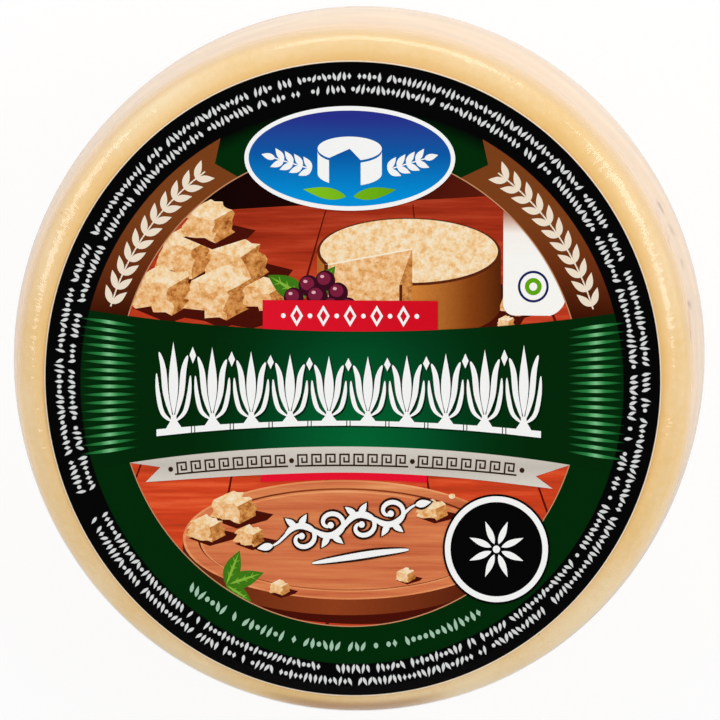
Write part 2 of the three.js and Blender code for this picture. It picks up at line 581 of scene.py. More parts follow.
def film_material():
    """Clear glossy film, with a faint haze that is partly painted reflection."""
    material, tree, output = new_material("clear_shrink_film")
    place = object_place(tree)
    at = split(tree, place)
    flat = joined(tree, at["X"], at["Y"])
    fine = noise(tree, place, 1.6 * MM, 3.0, 0.6)
    broad = noise(tree, place, 9 * MM, 2.0)
    outward = vector_sums(tree, "NORMALIZE", flat)
    fan = vector_sums(tree, "MULTIPLY_ADD", place, (4, 4, 8), outward)
    creases = noise(tree, fan, 1 / CREASE_SCALE, 2.0)
    creases = product(tree, creases, crease_patches(tree, outward, at))
    rounded = vector_sums(tree, "MULTIPLY", flat, (1, 1 / OVAL, 0))
    round_reach = vector_sums(tree, "LENGTH", rounded, out=1)
    calm = mapped(tree, round_reach, 97 * MM, 100 * MM, 1.0, 0.4)
    broad = product(tree, broad, calm)
    height = sums(tree, "MULTIPLY_ADD", fine, FINE_SHARE, sums(tree, "ADD", broad, creases))
    bump = node(tree, "ShaderNodeBump", {"Height": height, "Strength": 0.35, "Distance": 0.4 * MM})
    fresnel = node(tree, "ShaderNodeFresnel", {"IOR": FILM_IOR, "Normal": bump.outputs[0]})
    outside = sums(tree, "SUBTRACT", 1.0, node(tree, "ShaderNodeNewGeometry").outputs["Backfacing"])
    mirror = product(tree, fresnel.outputs[0], outside)
    # painted shade: dark lines where the film doubles over
    fold_shade = fold_shade_lines(tree, outward, round_reach, at)
    clear = node(tree, "ShaderNodeBsdfTransparent", {"Color": fold_shade})
    gloss = node(tree, "ShaderNodeBsdfGlossy", {"Roughness": FILM_ROUGHNESS, "Normal": bump.outputs[0]})
    film = node(tree, "ShaderNodeMixShader", {0: mirror, 1: clear.outputs[0], 2: gloss.outputs[0]})
    # the pale veil: partly haze, partly painted reflection
    haze = product(tree, haze_and_reflection_share(tree, outward, round_reach, at), outside)
    veil = node(tree, "ShaderNodeBsdfPrincipled", {"Roughness": 0.5})
    veil.inputs["Base Color"].default_value = HAZE_AND_REFLECTION_TINT
    both = node(tree, "ShaderNodeMixShader", {0: haze, 1: film.outputs[0], 2: veil.outputs[0]})
    feed(tree, output.inputs["Surface"], both.outputs[0])
    return material


# %% [markdown]
# The cheese and the film are the same form with two insets. The film lies 0.2 mm outside
# the cheese and shares its broad dents, so the two never touch. Only the film has pleats,
# gathered round the lower shoulder, where a sleeve of shrink film closes.

# %% The cheese and its film
CHEESE_INSET = 0.3 * MM
FILM_INSET = 0.1 * MM


def make_wheel_piece(name, inset, values):
    """One closed wheel form from the tree, with its own inset and relief."""
    outline = [(r, 0, z) for r, z in section_points(inset)]
    section = curve_object(name + "_section", [outline])
    piece = run_tree(name, turned_wheel, {
        "Section": section, "Section Points": len(outline), **values})
    curve = section.data
    bpy.data.objects.remove(section)
    bpy.data.curves.remove(curve)
    if volume_of(piece) < 0:
        piece.data.flip_normals()
    held = round(volume_of(piece) * 1e6)
    print(name, "has", len(piece.data.polygons), "faces and holds", held, "cubic cm")
    return piece


cheese = make_wheel_piece("cheese_wheel", CHEESE_INSET, {
    "Steps Round": 300, "Dent Depth": 0.22 * MM, "Dent Size": 30 * MM, "Grain Depth": 0.07 * MM,
    "Grain Size": 4 * MM, "Pleat Depth": 0.0, "Seed": 8.0, "Material": rind_material()})
film = make_wheel_piece("shrink_film", FILM_INSET, {
    "Steps Round": 520, "Dent Depth": 0.22 * MM, "Dent Size": 30 * MM, "Grain Depth": 0.06 * MM,
    "Grain Size": 9 * MM, "Pleat Depth": 0.42 * MM, "Seed": 8.0,
    "Material": film_material()})
for piece in (cheese, film):
    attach(piece, "root")
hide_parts("wrapped_cheese_wheel")
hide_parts("wrapped_cheese_wheel")

# %% [markdown]
# The label is a thin paper sheet, and its print is laid on it as the press does: field
# over field, each a very thin closed layer of ink a hair above the last. Stacking them
# gives every field a crisp edge at any size, and each its own material.
# The print is drawn flat, as if the label were a circle of 92.3 mm, in millimetres from
# its middle. lay_on_label then stretches it to the real oval and bends it over the
# shoulder of the cheese, where the sheet reaches past the flat face.

# %% Where the label lies
LABEL_HALF_WIDTH = 90.6 * MM
LABEL_HALF_DEPTH = 94 * MM
LABEL_CENTRE = (-0.3 * MM, -2.1 * MM)
PRINT_RADIUS = 92.3 * MM
PAPER_BOTTOM = 0.05 * MM
PAPER_TOP = 0.34 * MM
INK_THICKNESS = 0.015 * MM
INK_STEP = 0.02 * MM


def face_drop(x, y):
    """How far the wheel's upper surface lies below its flat face, at places in the plan."""
    round_y = y / OVAL
    angle = np.arctan2(round_y, x)
    size = np.ones_like(x)
    for wave in SIDE_WAVES:
        turn = math.radians(wave["start"] + wave["twist"])
        size += wave["depth"] / WHEEL_HALF_WIDTH * np.cos(wave["lobes"] * (angle - turn))
    past = np.clip((np.hypot(x, round_y) / size - FACE_HALF_WIDTH) / SHOULDER_REACH, 0, 1)
    return SHOULDER_DROP * (1 - np.sqrt(1 - past ** 2))


def lay_on_label(mesh, height):
    """Stretches a flat drawing to the label's oval, and lays it at a height over the cheese."""
    points = np.zeros(len(mesh.vertices) * 3)
    mesh.vertices.foreach_get("co", points)
    points = points.reshape(-1, 3)
    points[:, 0] = LABEL_CENTRE[0] + points[:, 0] * LABEL_HALF_WIDTH / PRINT_RADIUS
    points[:, 1] = LABEL_CENTRE[1] + points[:, 1] * LABEL_HALF_DEPTH / PRINT_RADIUS
    points[:, 2] += WHEEL_HEIGHT + height - face_drop(points[:, 0], points[:, 1])
    mesh.vertices.foreach_set("co", points.ravel())
    mesh.update()


# %% [markdown]
# A field of print starts as outlines. A loop inside another is a hole. Delaunay
# triangulation fills them with well-shaped triangles and keeps every edge of the
# outlines, and extra points give a field that has to bend something to bend at.

# %% Outlines into closed sheets
def covered(loops, places):
    """For each place, whether it lies inside an odd number of the loops."""
    crossings = np.zeros(len(places), int)
    x, y = places[:, 0:1], places[:, 1:2]
    for loop in loops:
        a = np.array(loop, float)
        b = np.roll(a, -1, axis=0)
        a, b = a[a[:, 1] != b[:, 1]], b[a[:, 1] != b[:, 1]]
        spans = (a[:, 1] > y) != (b[:, 1] > y)
        meets = a[:, 0] + (y - a[:, 1]) * (b[:, 0] - a[:, 0]) / (b[:, 1] - a[:, 1])
        crossings += np.count_nonzero(spans & (x < meets), axis=1)
    return crossings % 2 == 1


def triangulated(loops, extra=()):
    """Places and upward triangles that keep every edge of the loops, and the triangles' middles."""
    points, edges = [], []
    for loop in loops:
        first = len(points)
        points += [Vector(p) for p in loop]
        edges += [(first + i, first + (i + 1) % len(loop)) for i in range(len(loop))]
    points += [Vector(p) for p in extra]
    made = geometry.delaunay_2d_cdt(points, edges, [], 0, 1e-4, False)
    places = np.array([tuple(p) for p in made[0]])
    triangles = np.array(made[2])
    a, b, c = (places[triangles[:, i]] for i in range(3))
    area = (b[:, 0] - a[:, 0]) * (c[:, 1] - a[:, 1]) - (b[:, 1] - a[:, 1]) * (c[:, 0] - a[:, 0])
    triangles[area < 0] = triangles[area < 0][:, ::-1]
    return places, triangles, (a + b + c) / 3


def closed_sheets(name, sheets, thickness):
    """A mesh of thin closed sheets, each from flat places in millimetres and triangles."""
    points, faces = [], []
    for places, triangles in sheets:
        first, count = len(points), len(places)
        points += [(x * MM, y * MM, 0) for x, y in places]
        points += [(x * MM, y * MM, thickness) for x, y in places]
        borders = {}
        for a, b, c in triangles:
            faces.append((first + count + a, first + count + b, first + count + c))
            faces.append((first + c, first + b, first + a))
            for start, end in ((a, b), (b, c), (c, a)):
                if not borders.pop((end, start), False):
                    borders[(start, end)] = True
        for start, end in borders:
            faces.append((first + start, first + end, first + count + end, first + count + start))
    mesh = bpy.data.meshes.new(name)
    mesh.from_pydata(points, [], faces)
    shape = bmesh.new()
    shape.from_mesh(mesh)
    loose = [v for v in shape.verts if not v.link_faces]
    bmesh.ops.delete(shape, geom=loose, context="VERTS")
    shape.to_mesh(mesh)
    shape.free()
    return mesh


def sheet_mesh(name, shapes, thickness, extra=()):
    """The same from shapes that may overlap, each a list of loops in millimetres."""
    places, triangles, middles = triangulated([loop for loops in shapes for loop in loops], extra)
    wanted = np.any([covered(loops, middles) for loops in shapes], axis=0)
    return closed_sheets(name, [(places, triangles[wanted])], thickness)


def tie_to_label(piece):
    """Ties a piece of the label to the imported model."""
    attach(piece, "root")
    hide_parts("label")


def print_mesh(mesh, material, level):
    """Lays a flat mesh on the label in one ink, at a level of the stack."""
    mesh.materials.clear()
    mesh.materials.append(material)
    lay_on_label(mesh, PAPER_TOP + level * INK_STEP - INK_THICKNESS)
    piece = add_object(mesh.name, mesh)
    tie_to_label(piece)
    return piece


def ink(name, shapes, level, material, extra=()):
    """One field of print, or several in the same ink."""
    return print_mesh(sheet_mesh(name, shapes, INK_THICKNESS, extra), material, level)


# %% [markdown]
# Every shape of the print starts from a few drawing tools: an arc, an oval, a leaf, and a
# brush stroke. Each gives a list of places, which the next step may turn, resize or move.

# %% Drawing outlines
def arc(centre, radius, start, end, count):
    """Points on a circle from one angle to another, in degrees."""
    return [(centre[0] + radius * math.cos(math.radians(start + (end - start) * i / count)),
             centre[1] + radius * math.sin(math.radians(start + (end - start) * i / count)))
            for i in range(count + 1)]


def oval(centre, half_width, half_height, count=72):
    """A closed ellipse."""
    return [(centre[0] + half_width * math.cos(math.tau * i / count),
             centre[1] + half_height * math.sin(math.tau * i / count)) for i in range(count)]


def circle(centre, radius, count=144):
    """A closed circle."""
    return oval(centre, radius, radius, count)


def leaf(length, width, count=8):
    """A leaf from the origin along X, pointed at both ends."""
    upper = [(length * i / count, width / 2 * math.sin(math.pi * (i / count) ** 0.8))
             for i in range(count + 1)]
    lower = [(x, -y) for x, y in upper[1:-1]]
    return upper[::-1] + lower


def placed(loop, x, y, turn=0.0, size=1.0):
    """A loop turned by degrees, resized and moved."""
    c, s = math.cos(math.radians(turn)) * size, math.sin(math.radians(turn)) * size
    return [(x + px * c - py * s, y + px * s + py * c) for px, py in loop]


def smooth_line(points, count=10):
    """A curve through a few points, which takes its slope at each from the two beside it."""
    found, last = [], len(points) - 1
    for i in range(last):
        p = [np.array(points[min(max(j, 0), last)]) for j in (i - 1, i, i + 1, i + 2)]
        for k in range(count):
            t = k / count
            found.append(tuple(0.5 * (2 * p[1] + (p[2] - p[0]) * t
                                      + (2 * p[0] - 5 * p[1] + 4 * p[2] - p[3]) * t ** 2
                                      + (3 * p[1] - p[0] - 3 * p[2] + p[3]) * t ** 3)))
    return found + [tuple(points[-1])]


def brush_stroke(points, width, tip=0.12):
    """The outline of a brush stroke through a few points, thick in its middle."""
    line = np.array(smooth_line(points))
    along = np.gradient(line, axis=0)
    along /= np.linalg.norm(along, axis=1)[:, None]
    side = np.stack([-along[:, 1], along[:, 0]], 1)
    share = np.linspace(0, 1, len(line))
    half = width / 2 * (tip + (1 - tip) * np.sin(np.pi * share) ** 0.7)
    left, right = line + side * half[:, None], line - side * half[:, None]
    return [tuple(p) for p in np.concatenate([left, right[::-1]])]


print("a leaf's outline has", len(leaf(1, 1)), "places")

# %% [markdown]
# Inks. A printed tone is seldom flat: it fades from one colour to another, and paper and
# press leave a fine mottle. One shader group does the mottle for every ink, with its
# amount as an input. The fade is a ramp read along a line, or out from a middle.

# %% The group for printed mottle
def mottle_group():
    """A shader group that varies a colour a little, as ink on paper does."""
    inputs = {"Color": "Color", "Amount": "Float", "Scale": "Float"}
    group, given = new_tree("ink_mottle", "ShaderNodeTree", inputs, "Color")
    place = object_place(group)
    grain = node(group, "ShaderNodeTexNoise", {"Vector": place, "Scale": given["Scale"], "Detail": 3.0})
    swing = product(group, sums(group, "SUBTRACT", grain.outputs[0], 0.5), given["Amount"])
    value = sums(group, "ADD", swing, 1.0)
    made = node(group, "ShaderNodeHueSaturation", {"Value": value, "Color": given["Color"]})
    feed(group, group.nodes.new("NodeGroupOutput").inputs[0], made.outputs[0])
    return group


ink_mottle = mottle_group()
print("the mottle group has", len(ink_mottle.nodes), "nodes")


def on_label(point):
    """A place on the label's print, in millimetres, as a place on the object, in metres."""
    return (LABEL_CENTRE[0] + point[0] * MM * LABEL_HALF_WIDTH / PRINT_RADIUS,
            LABEL_CENTRE[1] + point[1] * MM * LABEL_HALF_DEPTH / PRINT_RADIUS, WHEEL_HEIGHT)


def fade_along(tree, place, start, end):
    """0 at one place of the print and 1 at another, evenly between."""
    a, b = Vector(on_label(start)), Vector(on_label(end))
    way = (b - a) / (b - a).length_squared
    from_start = vector_sums(tree, "SUBTRACT", place, tuple(a))
    return vector_sums(tree, "DOT_PRODUCT", from_start, tuple(way), out=1)


def fade_out(tree, place, middle, reach, squeeze):
    """0 at a middle and 1 at a reach from it, in millimetres.

    A squeeze under 1 makes the fade slower up and down the label."""
    a = Vector(on_label(middle))
    from_middle = vector_sums(tree, "SUBTRACT", place, tuple(a))
    flat = vector_sums(tree, "MULTIPLY", from_middle, (1, squeeze, 0))
    return sums(tree, "DIVIDE", vector_sums(tree, "LENGTH", flat, out=1), reach * MM)


def ink_surface(tree, output, base, roughness=0.32, amount=0.1, size=0.9):
    """Ends an ink's material: mottle, a satin varnish and the fine tooth of the paper."""
    mottle = node(tree, "ShaderNodeGroup", node_tree=ink_mottle)
    feed(tree, mottle.inputs["Color"], base)
    mottle.inputs["Amount"].default_value = amount
    mottle.inputs["Scale"].default_value = 1 / (size * MM)
    surface = node(tree, "ShaderNodeBsdfPrincipled",
                   {"Base Color": mottle.outputs[0], "Roughness": roughness})
    surface.inputs["Specular IOR Level"].default_value = 0.06
    feed(tree, output.inputs["Surface"], surface.outputs[0])


def flat_ink(name, shade, amount=0.1):
    """One plain colour."""
    material, tree, output = new_material(name)
    ink_surface(tree, output, shade, amount=amount)
    return material


def fading_ink(name, stops, start=None, end=None, middle=None, reach=None, squeeze=1.0, amount=0.1):
    """A tone that fades along a line, or outwards from a middle."""
    material, tree, output = new_material(name)
    place = object_place(tree)
    if middle is None:
        share = fade_along(tree, place, start, end)
    else:
        share = fade_out(tree, place, middle, reach, squeeze)
    ink_surface(tree, output, ramp(tree, share, stops), amount=amount)
    return material


def wood_ink(name, stops, turn, size=2.2, stretch=0.07, start=(0, 0), end=(1, 0), shade=0.0):
    """Printed wood: noise drawn out along the grain, with an optional fall of light."""
    material, tree, output = new_material(name)
    place = object_place(tree)
    laid = node(tree, "ShaderNodeMapping", {"Vector": place, "Rotation": (0, 0, -math.radians(turn)),
                "Scale": (stretch, 1, 1)}, vector_type="POINT")
    grain = noise(tree, laid.outputs[0], size * MM, 5.0, 0.62)
    base = ramp(tree, grain, stops)
    if shade:
        light = mapped(tree, fade_along(tree, place, start, end), 0.0, 1.0, 1.0 - shade, 1.0)
        dimmed = node(tree, "ShaderNodeHueSaturation", {"Value": light, "Color": base})
        base = dimmed.outputs[0]
    ink_surface(tree, output, base, amount=0.06)
    return material


def crumb_ink(name, stops, size=2.4):
    """Printed crumbly cheese: a coarse noise of pits and flakes under a finer one."""
    material, tree, output = new_material(name)
    place = object_place(tree)
    coarse = noise(tree, place, size * MM, 4.0, 0.68)
    fine = noise(tree, place, size * MM / 3.2, 2.0)
    tone = sums(tree, "MULTIPLY_ADD", fine, 0.3, product(tree, coarse, 0.7))
    ink_surface(tree, output, ramp(tree, tone, stops), amount=0.05)
    return material


# %% [markdown]
# The label from the bottom up: a paper sheet, a black ring out to its edge, and a green
# ring inside that, round the picture. The paper bends over the shoulder, so it and the
# black ring get extra rings of points to bend at. A separate thin rim in a pale tone, just
# outside the sheet, is its cut edge with a painted highlight along it, a fine bright line
# against the cheese.

# %% The paper and the fields of the label
RING_MIDDLE = (-0.2, -1.4)
RING_INNER = 81.5
PAPER_RIM = 0.06
PICTURE_MIDDLE = (-0.85, -2.3)
PICTURE_RADIUS = 69.6
print_edge = PRINT_RADIUS / MM
bend_rings = [p for radius in (86, 88, 89.5, 90.8) for p in circle((0, 0), radius, 120)]
fill_rings = [p for radius in (30, 60, 78) for p in circle((0, 0), radius, 40)]

BLACK = colour("030304")
WHITE = colour("FCFCFA")
DEEP_GREEN = colour("002A07")
NIGHT_GREEN = colour("001503")

paper_white = flat_ink("label_paper", colour("F6E3C0"), 0.04)
paper_mesh = sheet_mesh("label_paper", [[circle((0, 0), print_edge, 240)]], PAPER_TOP - PAPER_BOTTOM,
                        bend_rings + fill_rings)
paper_mesh.materials.append(paper_white)
paper = add_object("label_paper", paper_mesh)
lay_on_label(paper.data, PAPER_BOTTOM)
tie_to_label(paper)

black_ink = flat_ink("black_ink", BLACK, 0.3)
white_ink = flat_ink("white_ink", WHITE, 0.02)
black_rims = [circle((0, 0), print_edge - PAPER_RIM, 240), circle(RING_MIDDLE, RING_INNER, 240)]
ink("black_ring", [black_rims], 7, black_ink, bend_rings)

LIP_OUTER, LIP_INNER = 92.62, 92.32
LIP_THICKNESS = 0.2 * MM
LIP_HEIGHT = 0.02 * MM


def make_edge_highlight_rim():
    """The label's cut edge with a painted highlight: a thin pale line against the cheese."""
    rim = [circle((0, 0), LIP_OUTER, 240), circle((0, 0), LIP_INNER, 240)]
    mesh = sheet_mesh("label_edge_lip", [rim], LIP_THICKNESS)
    # painted highlight: a pale line along the label's cut edge
    mesh.materials.append(flat_ink("pale_edge_ink", colour("FFEFD9"), 0.05))
    lay_on_label(mesh, LIP_HEIGHT)
    piece = add_object(mesh.name, mesh)
    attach(piece, "root")
    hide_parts("wrapped_cheese_wheel")
    return piece


make_edge_highlight_rim()
ring_tones = ((0.0, DEEP_GREEN), (0.95, DEEP_GREEN), (0.985, NIGHT_GREEN), (1.0, BLACK))
ring_green = fading_ink("ring_green", ring_tones, middle=(-0.2, -4.5), reach=85.2)
green_rims = [circle(RING_MIDDLE, RING_INNER + 1, 200), circle(PICTURE_MIDDLE, PICTURE_RADIUS, 200)]
ink("green_ring", [green_rims], 3, ring_green)
peach_line = flat_ink("peach_line_ink", colour("C98F66"), 0.1)
ink("picture_edge_line", [[circle(PICTURE_MIDDLE, PICTURE_RADIUS + 0.12, 200),
                           circle(PICTURE_MIDDLE, PICTURE_RADIUS - 0.2, 200)]], 5, peach_line)
print("the paper has", len(paper.data.polygons), "faces")


# %% [markdown]
# A dark green band crosses the label from side to side. Both edges bow away from its
# middle, as two parabolas. The ornaments read the same two functions, so they always fit.

# %% The band across the middle
BAND_END = 82.4


def band_top(x):
    """The height of the band's upper edge."""
    return 14.3 + 0.00092 * x * x


def band_bottom(x):
    """The height of the band's lower edge."""
    return -19.2 - 0.00115 * x * x


def between(low_edge, high_edge, left, right, count=48):
    """A field between two edges given as functions."""
    xs = [left + (right - left) * i / count for i in range(count + 1)]
    return [(x, low_edge(x)) for x in xs] + [(x, high_edge(x)) for x in reversed(xs)]


band_green = fading_ink("band_green", ((0.0, "006833"), (0.33, "005229"), (0.52, "003D1B"),
                                       (0.7, "00300D"), (0.88, "012807")),
                        middle=(2, -22), reach=58, squeeze=0.75)
ink("green_band", [[between(band_bottom, band_top, -BAND_END, BAND_END)]], 6, band_green)

# %% [markdown]
# The label's two windows hold a printed still life. A painter lays one shape over the
# next, and only the topmost shows. Here the same is worked out flat: all outlines go into
# one triangulation, and each triangle takes the ink of the last shape that covers it. The
# inks then lie side by side at one height, like a mosaic, with no hidden layers.

# %% The flat painter
class Painting:
    """Shapes in order, from the back to the front, inside a window."""

    def __init__(self, name, window, level):
        self.name, self.window, self.level = name, window, level
        self.inks, self.strokes = {}, []

    def lay(self, ink_name, *loops):
        """Adds a shape of one ink. Each further loop is a hole or another part."""
        self.strokes.append((ink_name, loops))

    def finish(self, materials):
        """Splits the window between the inks, and makes one piece for each of them."""
        every_loop = list(self.window) + [loop for _, loops in self.strokes for loop in loops]
        places, triangles, middles = triangulated(every_loop)
        top = np.full(len(triangles), -1)
        for number, (_, loops) in enumerate(self.strokes):
            top[covered(loops, middles)] = number
        top[~covered(self.window, middles)] = -1
        ink_names = [ink_name for ink_name, _ in self.strokes]
        for ink_name in dict.fromkeys(ink_names):
            chosen = np.isin(top, [i for i, other in enumerate(ink_names) if other == ink_name])
            if chosen.any():
                mesh = closed_sheets(self.name + "_" + ink_name, [(places, triangles[chosen])],
                                     INK_THICKNESS)
                print_mesh(mesh, materials[ink_name], self.level)
        print(self.name, "holds", len(self.strokes), "shapes and", len(triangles), "triangles")


# %% [markdown]
# The still life needs few inks. Cheese has one recipe in three tones, for its lit, middle
# and dark faces, and wood has one recipe whose grain is turned for each plank and board.

# %% Inks of the still life
CREAM_LIGHT = ((0.36, "F0B672"), (0.47, "FBD6A0"), (0.56, "FDE6C2"), (0.7, "FFF3DF"))
CREAM_MIDDLE = ((0.36, "D98F45"), (0.48, "F3BC7C"), (0.58, "FAD3A2"), (0.7, "FFE6C4"))
CREAM_DARK = ((0.36, "8E4A16"), (0.48, "C98140"), (0.6, "E5A35C"), (0.72, "F3C083"))
still_inks = {
    "crumb_light": crumb_ink("printed_crumb_light", CREAM_LIGHT),
    "crumb_middle": crumb_ink("printed_crumb_middle", CREAM_MIDDLE),
    "crumb_dark": crumb_ink("printed_crumb_dark", CREAM_DARK),
    "crumb_edge": flat_ink("printed_crumb_edge", colour("FFF0D6"), 0.05),
    "rind_side": fading_ink("printed_rind_side", ((0.0, "A65A1E"), (0.25, "E39A4C"),
                            (0.5, "D9873A"), (0.8, "8A4212"), (1.0, "3F1504")),
                            start=(-13, 20), end=(47, 20), amount=0.25),
    "rind_line": flat_ink("printed_rind_line", colour("5C240C"), 0.2),
    "grape": flat_ink("printed_grape", colour("3B0A1E"), 0.2),
    "grape_light": flat_ink("printed_grape_light", colour("7C1F3C"), 0.3),
    "grape_shine": flat_ink("printed_grape_shine", colour("E7B3BE"), 0.2),
    "leaf": flat_ink("printed_leaf", colour("3F7A16"), 0.4),
    "leaf_light": flat_ink("printed_leaf_light", colour("86B83A"), 0.3),
    "backdrop": fading_ink("printed_backdrop", ((0.0, "0C0100"), (0.45, "1C0302"),
                           (1.0, "5E1A0C")), start=(-50, 66), end=(40, 40)),
    "table": wood_ink("printed_table", ((0.3, "A02C14"), (0.5, "C43B1E"), (0.7, "DA5130")),
                      7, start=(0, 60), end=(0, 12), shade=0.35),
    "table_seam": flat_ink("printed_table_seam", colour("5E1408"), 0.2),
    "shadow": flat_ink("printed_shadow", colour("4A0F05"), 0.3),
    "low_table": wood_ink("printed_low_table", ((0.3, "B23A1C"), (0.5, "D6431F"),
                          (0.7, "EE6236")), -9),
    "board": wood_ink("printed_board", ((0.28, "BF5B34"), (0.45, "D7754A"), (0.58, "E08552"),
                      (0.75, "F2A46C")), -16, size=2.6, stretch=0.05),
    "board_light": wood_ink("printed_board_light", ((0.3, "DB7C4C"), (0.5, "EC965F"),
                            (0.7, "F7B07C")), -16, size=2.6, stretch=0.05),
    "board_edge": fading_ink("printed_board_edge", ((0.0, "4A1606"), (0.5, "93401C"),
                             (1.0, "3C0B04")), start=(-56, -50), end=(48, -60), amount=0.2),
}

# %% [markdown]
# A broken chunk reads as three faces with ragged edges. The ragged lines wander by a
# seeded random amount, so the pieces differ and still come out alike at every run.

# %% Shapes of the still life
draw = random.Random(11)


def chunk(painting, x, y, size, tall=1.0, lean=0.0):
    """A broken crumbly piece of cheese: a lit upper face, a front face and a dark side."""
    def jag(a, b, count=5, rough=0.07):
        line = []
        for i in range(count):
            t = i / count
            off = draw.uniform(-rough, rough) * size if i else 0.0
            line.append((a[0] + (b[0] - a[0]) * t + off, a[1] + (b[1] - a[1]) * t + off * 0.6))
        return line

    def at(u, v):
        return (x + size * (u + lean * v), y + size * tall * v)

    low_left, low_mid, low_right = at(-0.52, -0.2), at(0.16, -0.42), at(0.54, -0.16)
    up_left, up_mid, up_right = at(-0.44, 0.3), at(0.1, 0.1), at(0.46, 0.34)
    back = at(0.02, 0.58)
    shade = [at(-0.5, -0.28), at(0.1, -0.56), at(0.8, -0.3), at(0.95, -0.12), at(0.5, 0.0)]
    painting.lay("shadow", shade)
    front_seam = jag(low_mid, up_mid)
    left_top = jag(up_mid, up_left)
    right_top = jag(up_mid, up_right)
    front = jag(low_left, low_mid) + front_seam + left_top + jag(up_left, low_left)
    side = front_seam + right_top + jag(up_right, low_right) + jag(low_right, low_mid)
    top = left_top[::-1] + right_top[1:] + [up_right] + jag(up_right, back)[1:] + jag(back, up_left)
    painting.lay("crumb_dark", side)
    painting.lay("crumb_middle", front)
    painting.lay("crumb_light", top + [up_left])


def grape(painting, x, y, radius):
    """One grape, with its lit side and a small shine."""
    painting.lay("grape", oval((x, y), radius, radius, 28))
    painting.lay("grape_light",
                 oval((x - 0.15 * radius, y + 0.2 * radius), 0.68 * radius, 0.62 * radius, 22))
    painting.lay("grape_shine",
                 oval((x - 0.32 * radius, y + 0.4 * radius), 0.2 * radius, 0.15 * radius, 12))


def leaf_pair(painting, x, y, turn, length, width):
    """A leaf with a pale midrib."""
    painting.lay("leaf", placed(leaf(length, width, 12), x, y, turn))
    painting.lay("leaf_light", placed(leaf(length * 0.92, width * 0.16, 6), x, y, turn))
    for side in (1, -1):
        for share in (0.25, 0.45, 0.65):
            c, s = math.cos(math.radians(turn)), math.sin(math.radians(turn))
            vein = leaf(width * 0.34, width * 0.05, 3)
            painting.lay("leaf_light",
                         placed(vein, x + c * share * length, y + s * share * length, turn + side * 42))


def board_ring(painting, ink_name, centre, half_width, half_height, thickness):
    """A thin oval ring."""
    painting.lay(ink_name, oval(centre, half_width, half_height, 96),
                 oval(centre, half_width - thickness, half_height - thickness * 0.6, 96))


# %% [markdown]
# The upper window holds a cut wheel, a heap of chunks and some grapes on red planks. Far
# things are laid first. The planks' seams run to a vanishing point, which gives depth.

# %% The upper window
WHEEL_AT = (17, 37.5)
WHEEL_WIDE, WHEEL_DEEP, WHEEL_TALL = 27.5, 9.8, 15.5
NOTCH_LEFT, NOTCH_RIGHT = 203, 264


def on_oval(centre, half_width, half_height, angle, down=0.0):
    """A place on an oval, and how far below it."""
    return (centre[0] + half_width * math.cos(math.radians(angle)),
            centre[1] + half_height * math.sin(math.radians(angle)) - down)


def oval_arc(centre, half_width, half_height, start, end, count, down=0.0):
    """Places along an oval between two angles."""
    return [on_oval(centre, half_width, half_height, start + (end - start) * i / count, down)
            for i in range(count + 1)]


def pictured_wheel(painting):
    """A small whole cheese on the table, with a wedge cut out of it."""
    low = (WHEEL_AT[0] + 2.5, WHEEL_AT[1] - WHEEL_TALL - 1.5)
    painting.lay("shadow", oval(low, WHEEL_WIDE + 5, WHEEL_DEEP + 2.5, 64))
    front = oval_arc(WHEEL_AT, WHEEL_WIDE, WHEEL_DEEP, 180, 360, 48)
    painting.lay("rind_side",
                 front + oval_arc(WHEEL_AT, WHEEL_WIDE, WHEEL_DEEP, 360, 180, 48, WHEEL_TALL))
    painting.lay("rind_line", oval(WHEEL_AT, WHEEL_WIDE, WHEEL_DEEP, 90))
    painting.lay("crumb_light",
                 oval((WHEEL_AT[0], WHEEL_AT[1] + 0.25), WHEEL_WIDE - 0.9, WHEEL_DEEP - 0.55, 90))
    middle = (WHEEL_AT[0] + 1.0, WHEEL_AT[1] + 1.0)
    low_middle = (middle[0], middle[1] - WHEEL_TALL)
    left, right = (on_oval(WHEEL_AT, WHEEL_WIDE, WHEEL_DEEP, a) for a in (NOTCH_LEFT, NOTCH_RIGHT))
    low_left, low_right = (on_oval(WHEEL_AT, WHEEL_WIDE, WHEEL_DEEP, a, WHEEL_TALL)
                           for a in (NOTCH_LEFT, NOTCH_RIGHT))
    outer = oval_arc(WHEEL_AT, WHEEL_WIDE, WHEEL_DEEP, NOTCH_LEFT, NOTCH_RIGHT, 16)
    outer_low = oval_arc(WHEEL_AT, WHEEL_WIDE, WHEEL_DEEP, NOTCH_RIGHT, NOTCH_LEFT, 16, WHEEL_TALL)
    painting.lay("shadow", outer + outer_low)
    painting.lay("shadow", [left, middle] + outer[::-1][:-1])
    painting.lay("crumb_middle", [left, middle, low_middle, low_left])
    painting.lay("crumb_dark", [middle, right, low_right, low_middle])
    edge = 0.45
    painting.lay("crumb_edge", [left, middle, (middle[0], middle[1] - edge), (left[0], left[1] - edge)])
    painting.lay("rind_line", [left, (left[0] + 1.1, left[1] + 0.1),
                               (low_left[0] + 1.1, low_left[1] + 0.1), low_left])
    painting.lay("rind_line", [right, low_right, (low_right[0] + 0.9, low_right[1] + 0.3),
                               (right[0] + 0.9, right[1] + 0.3)])


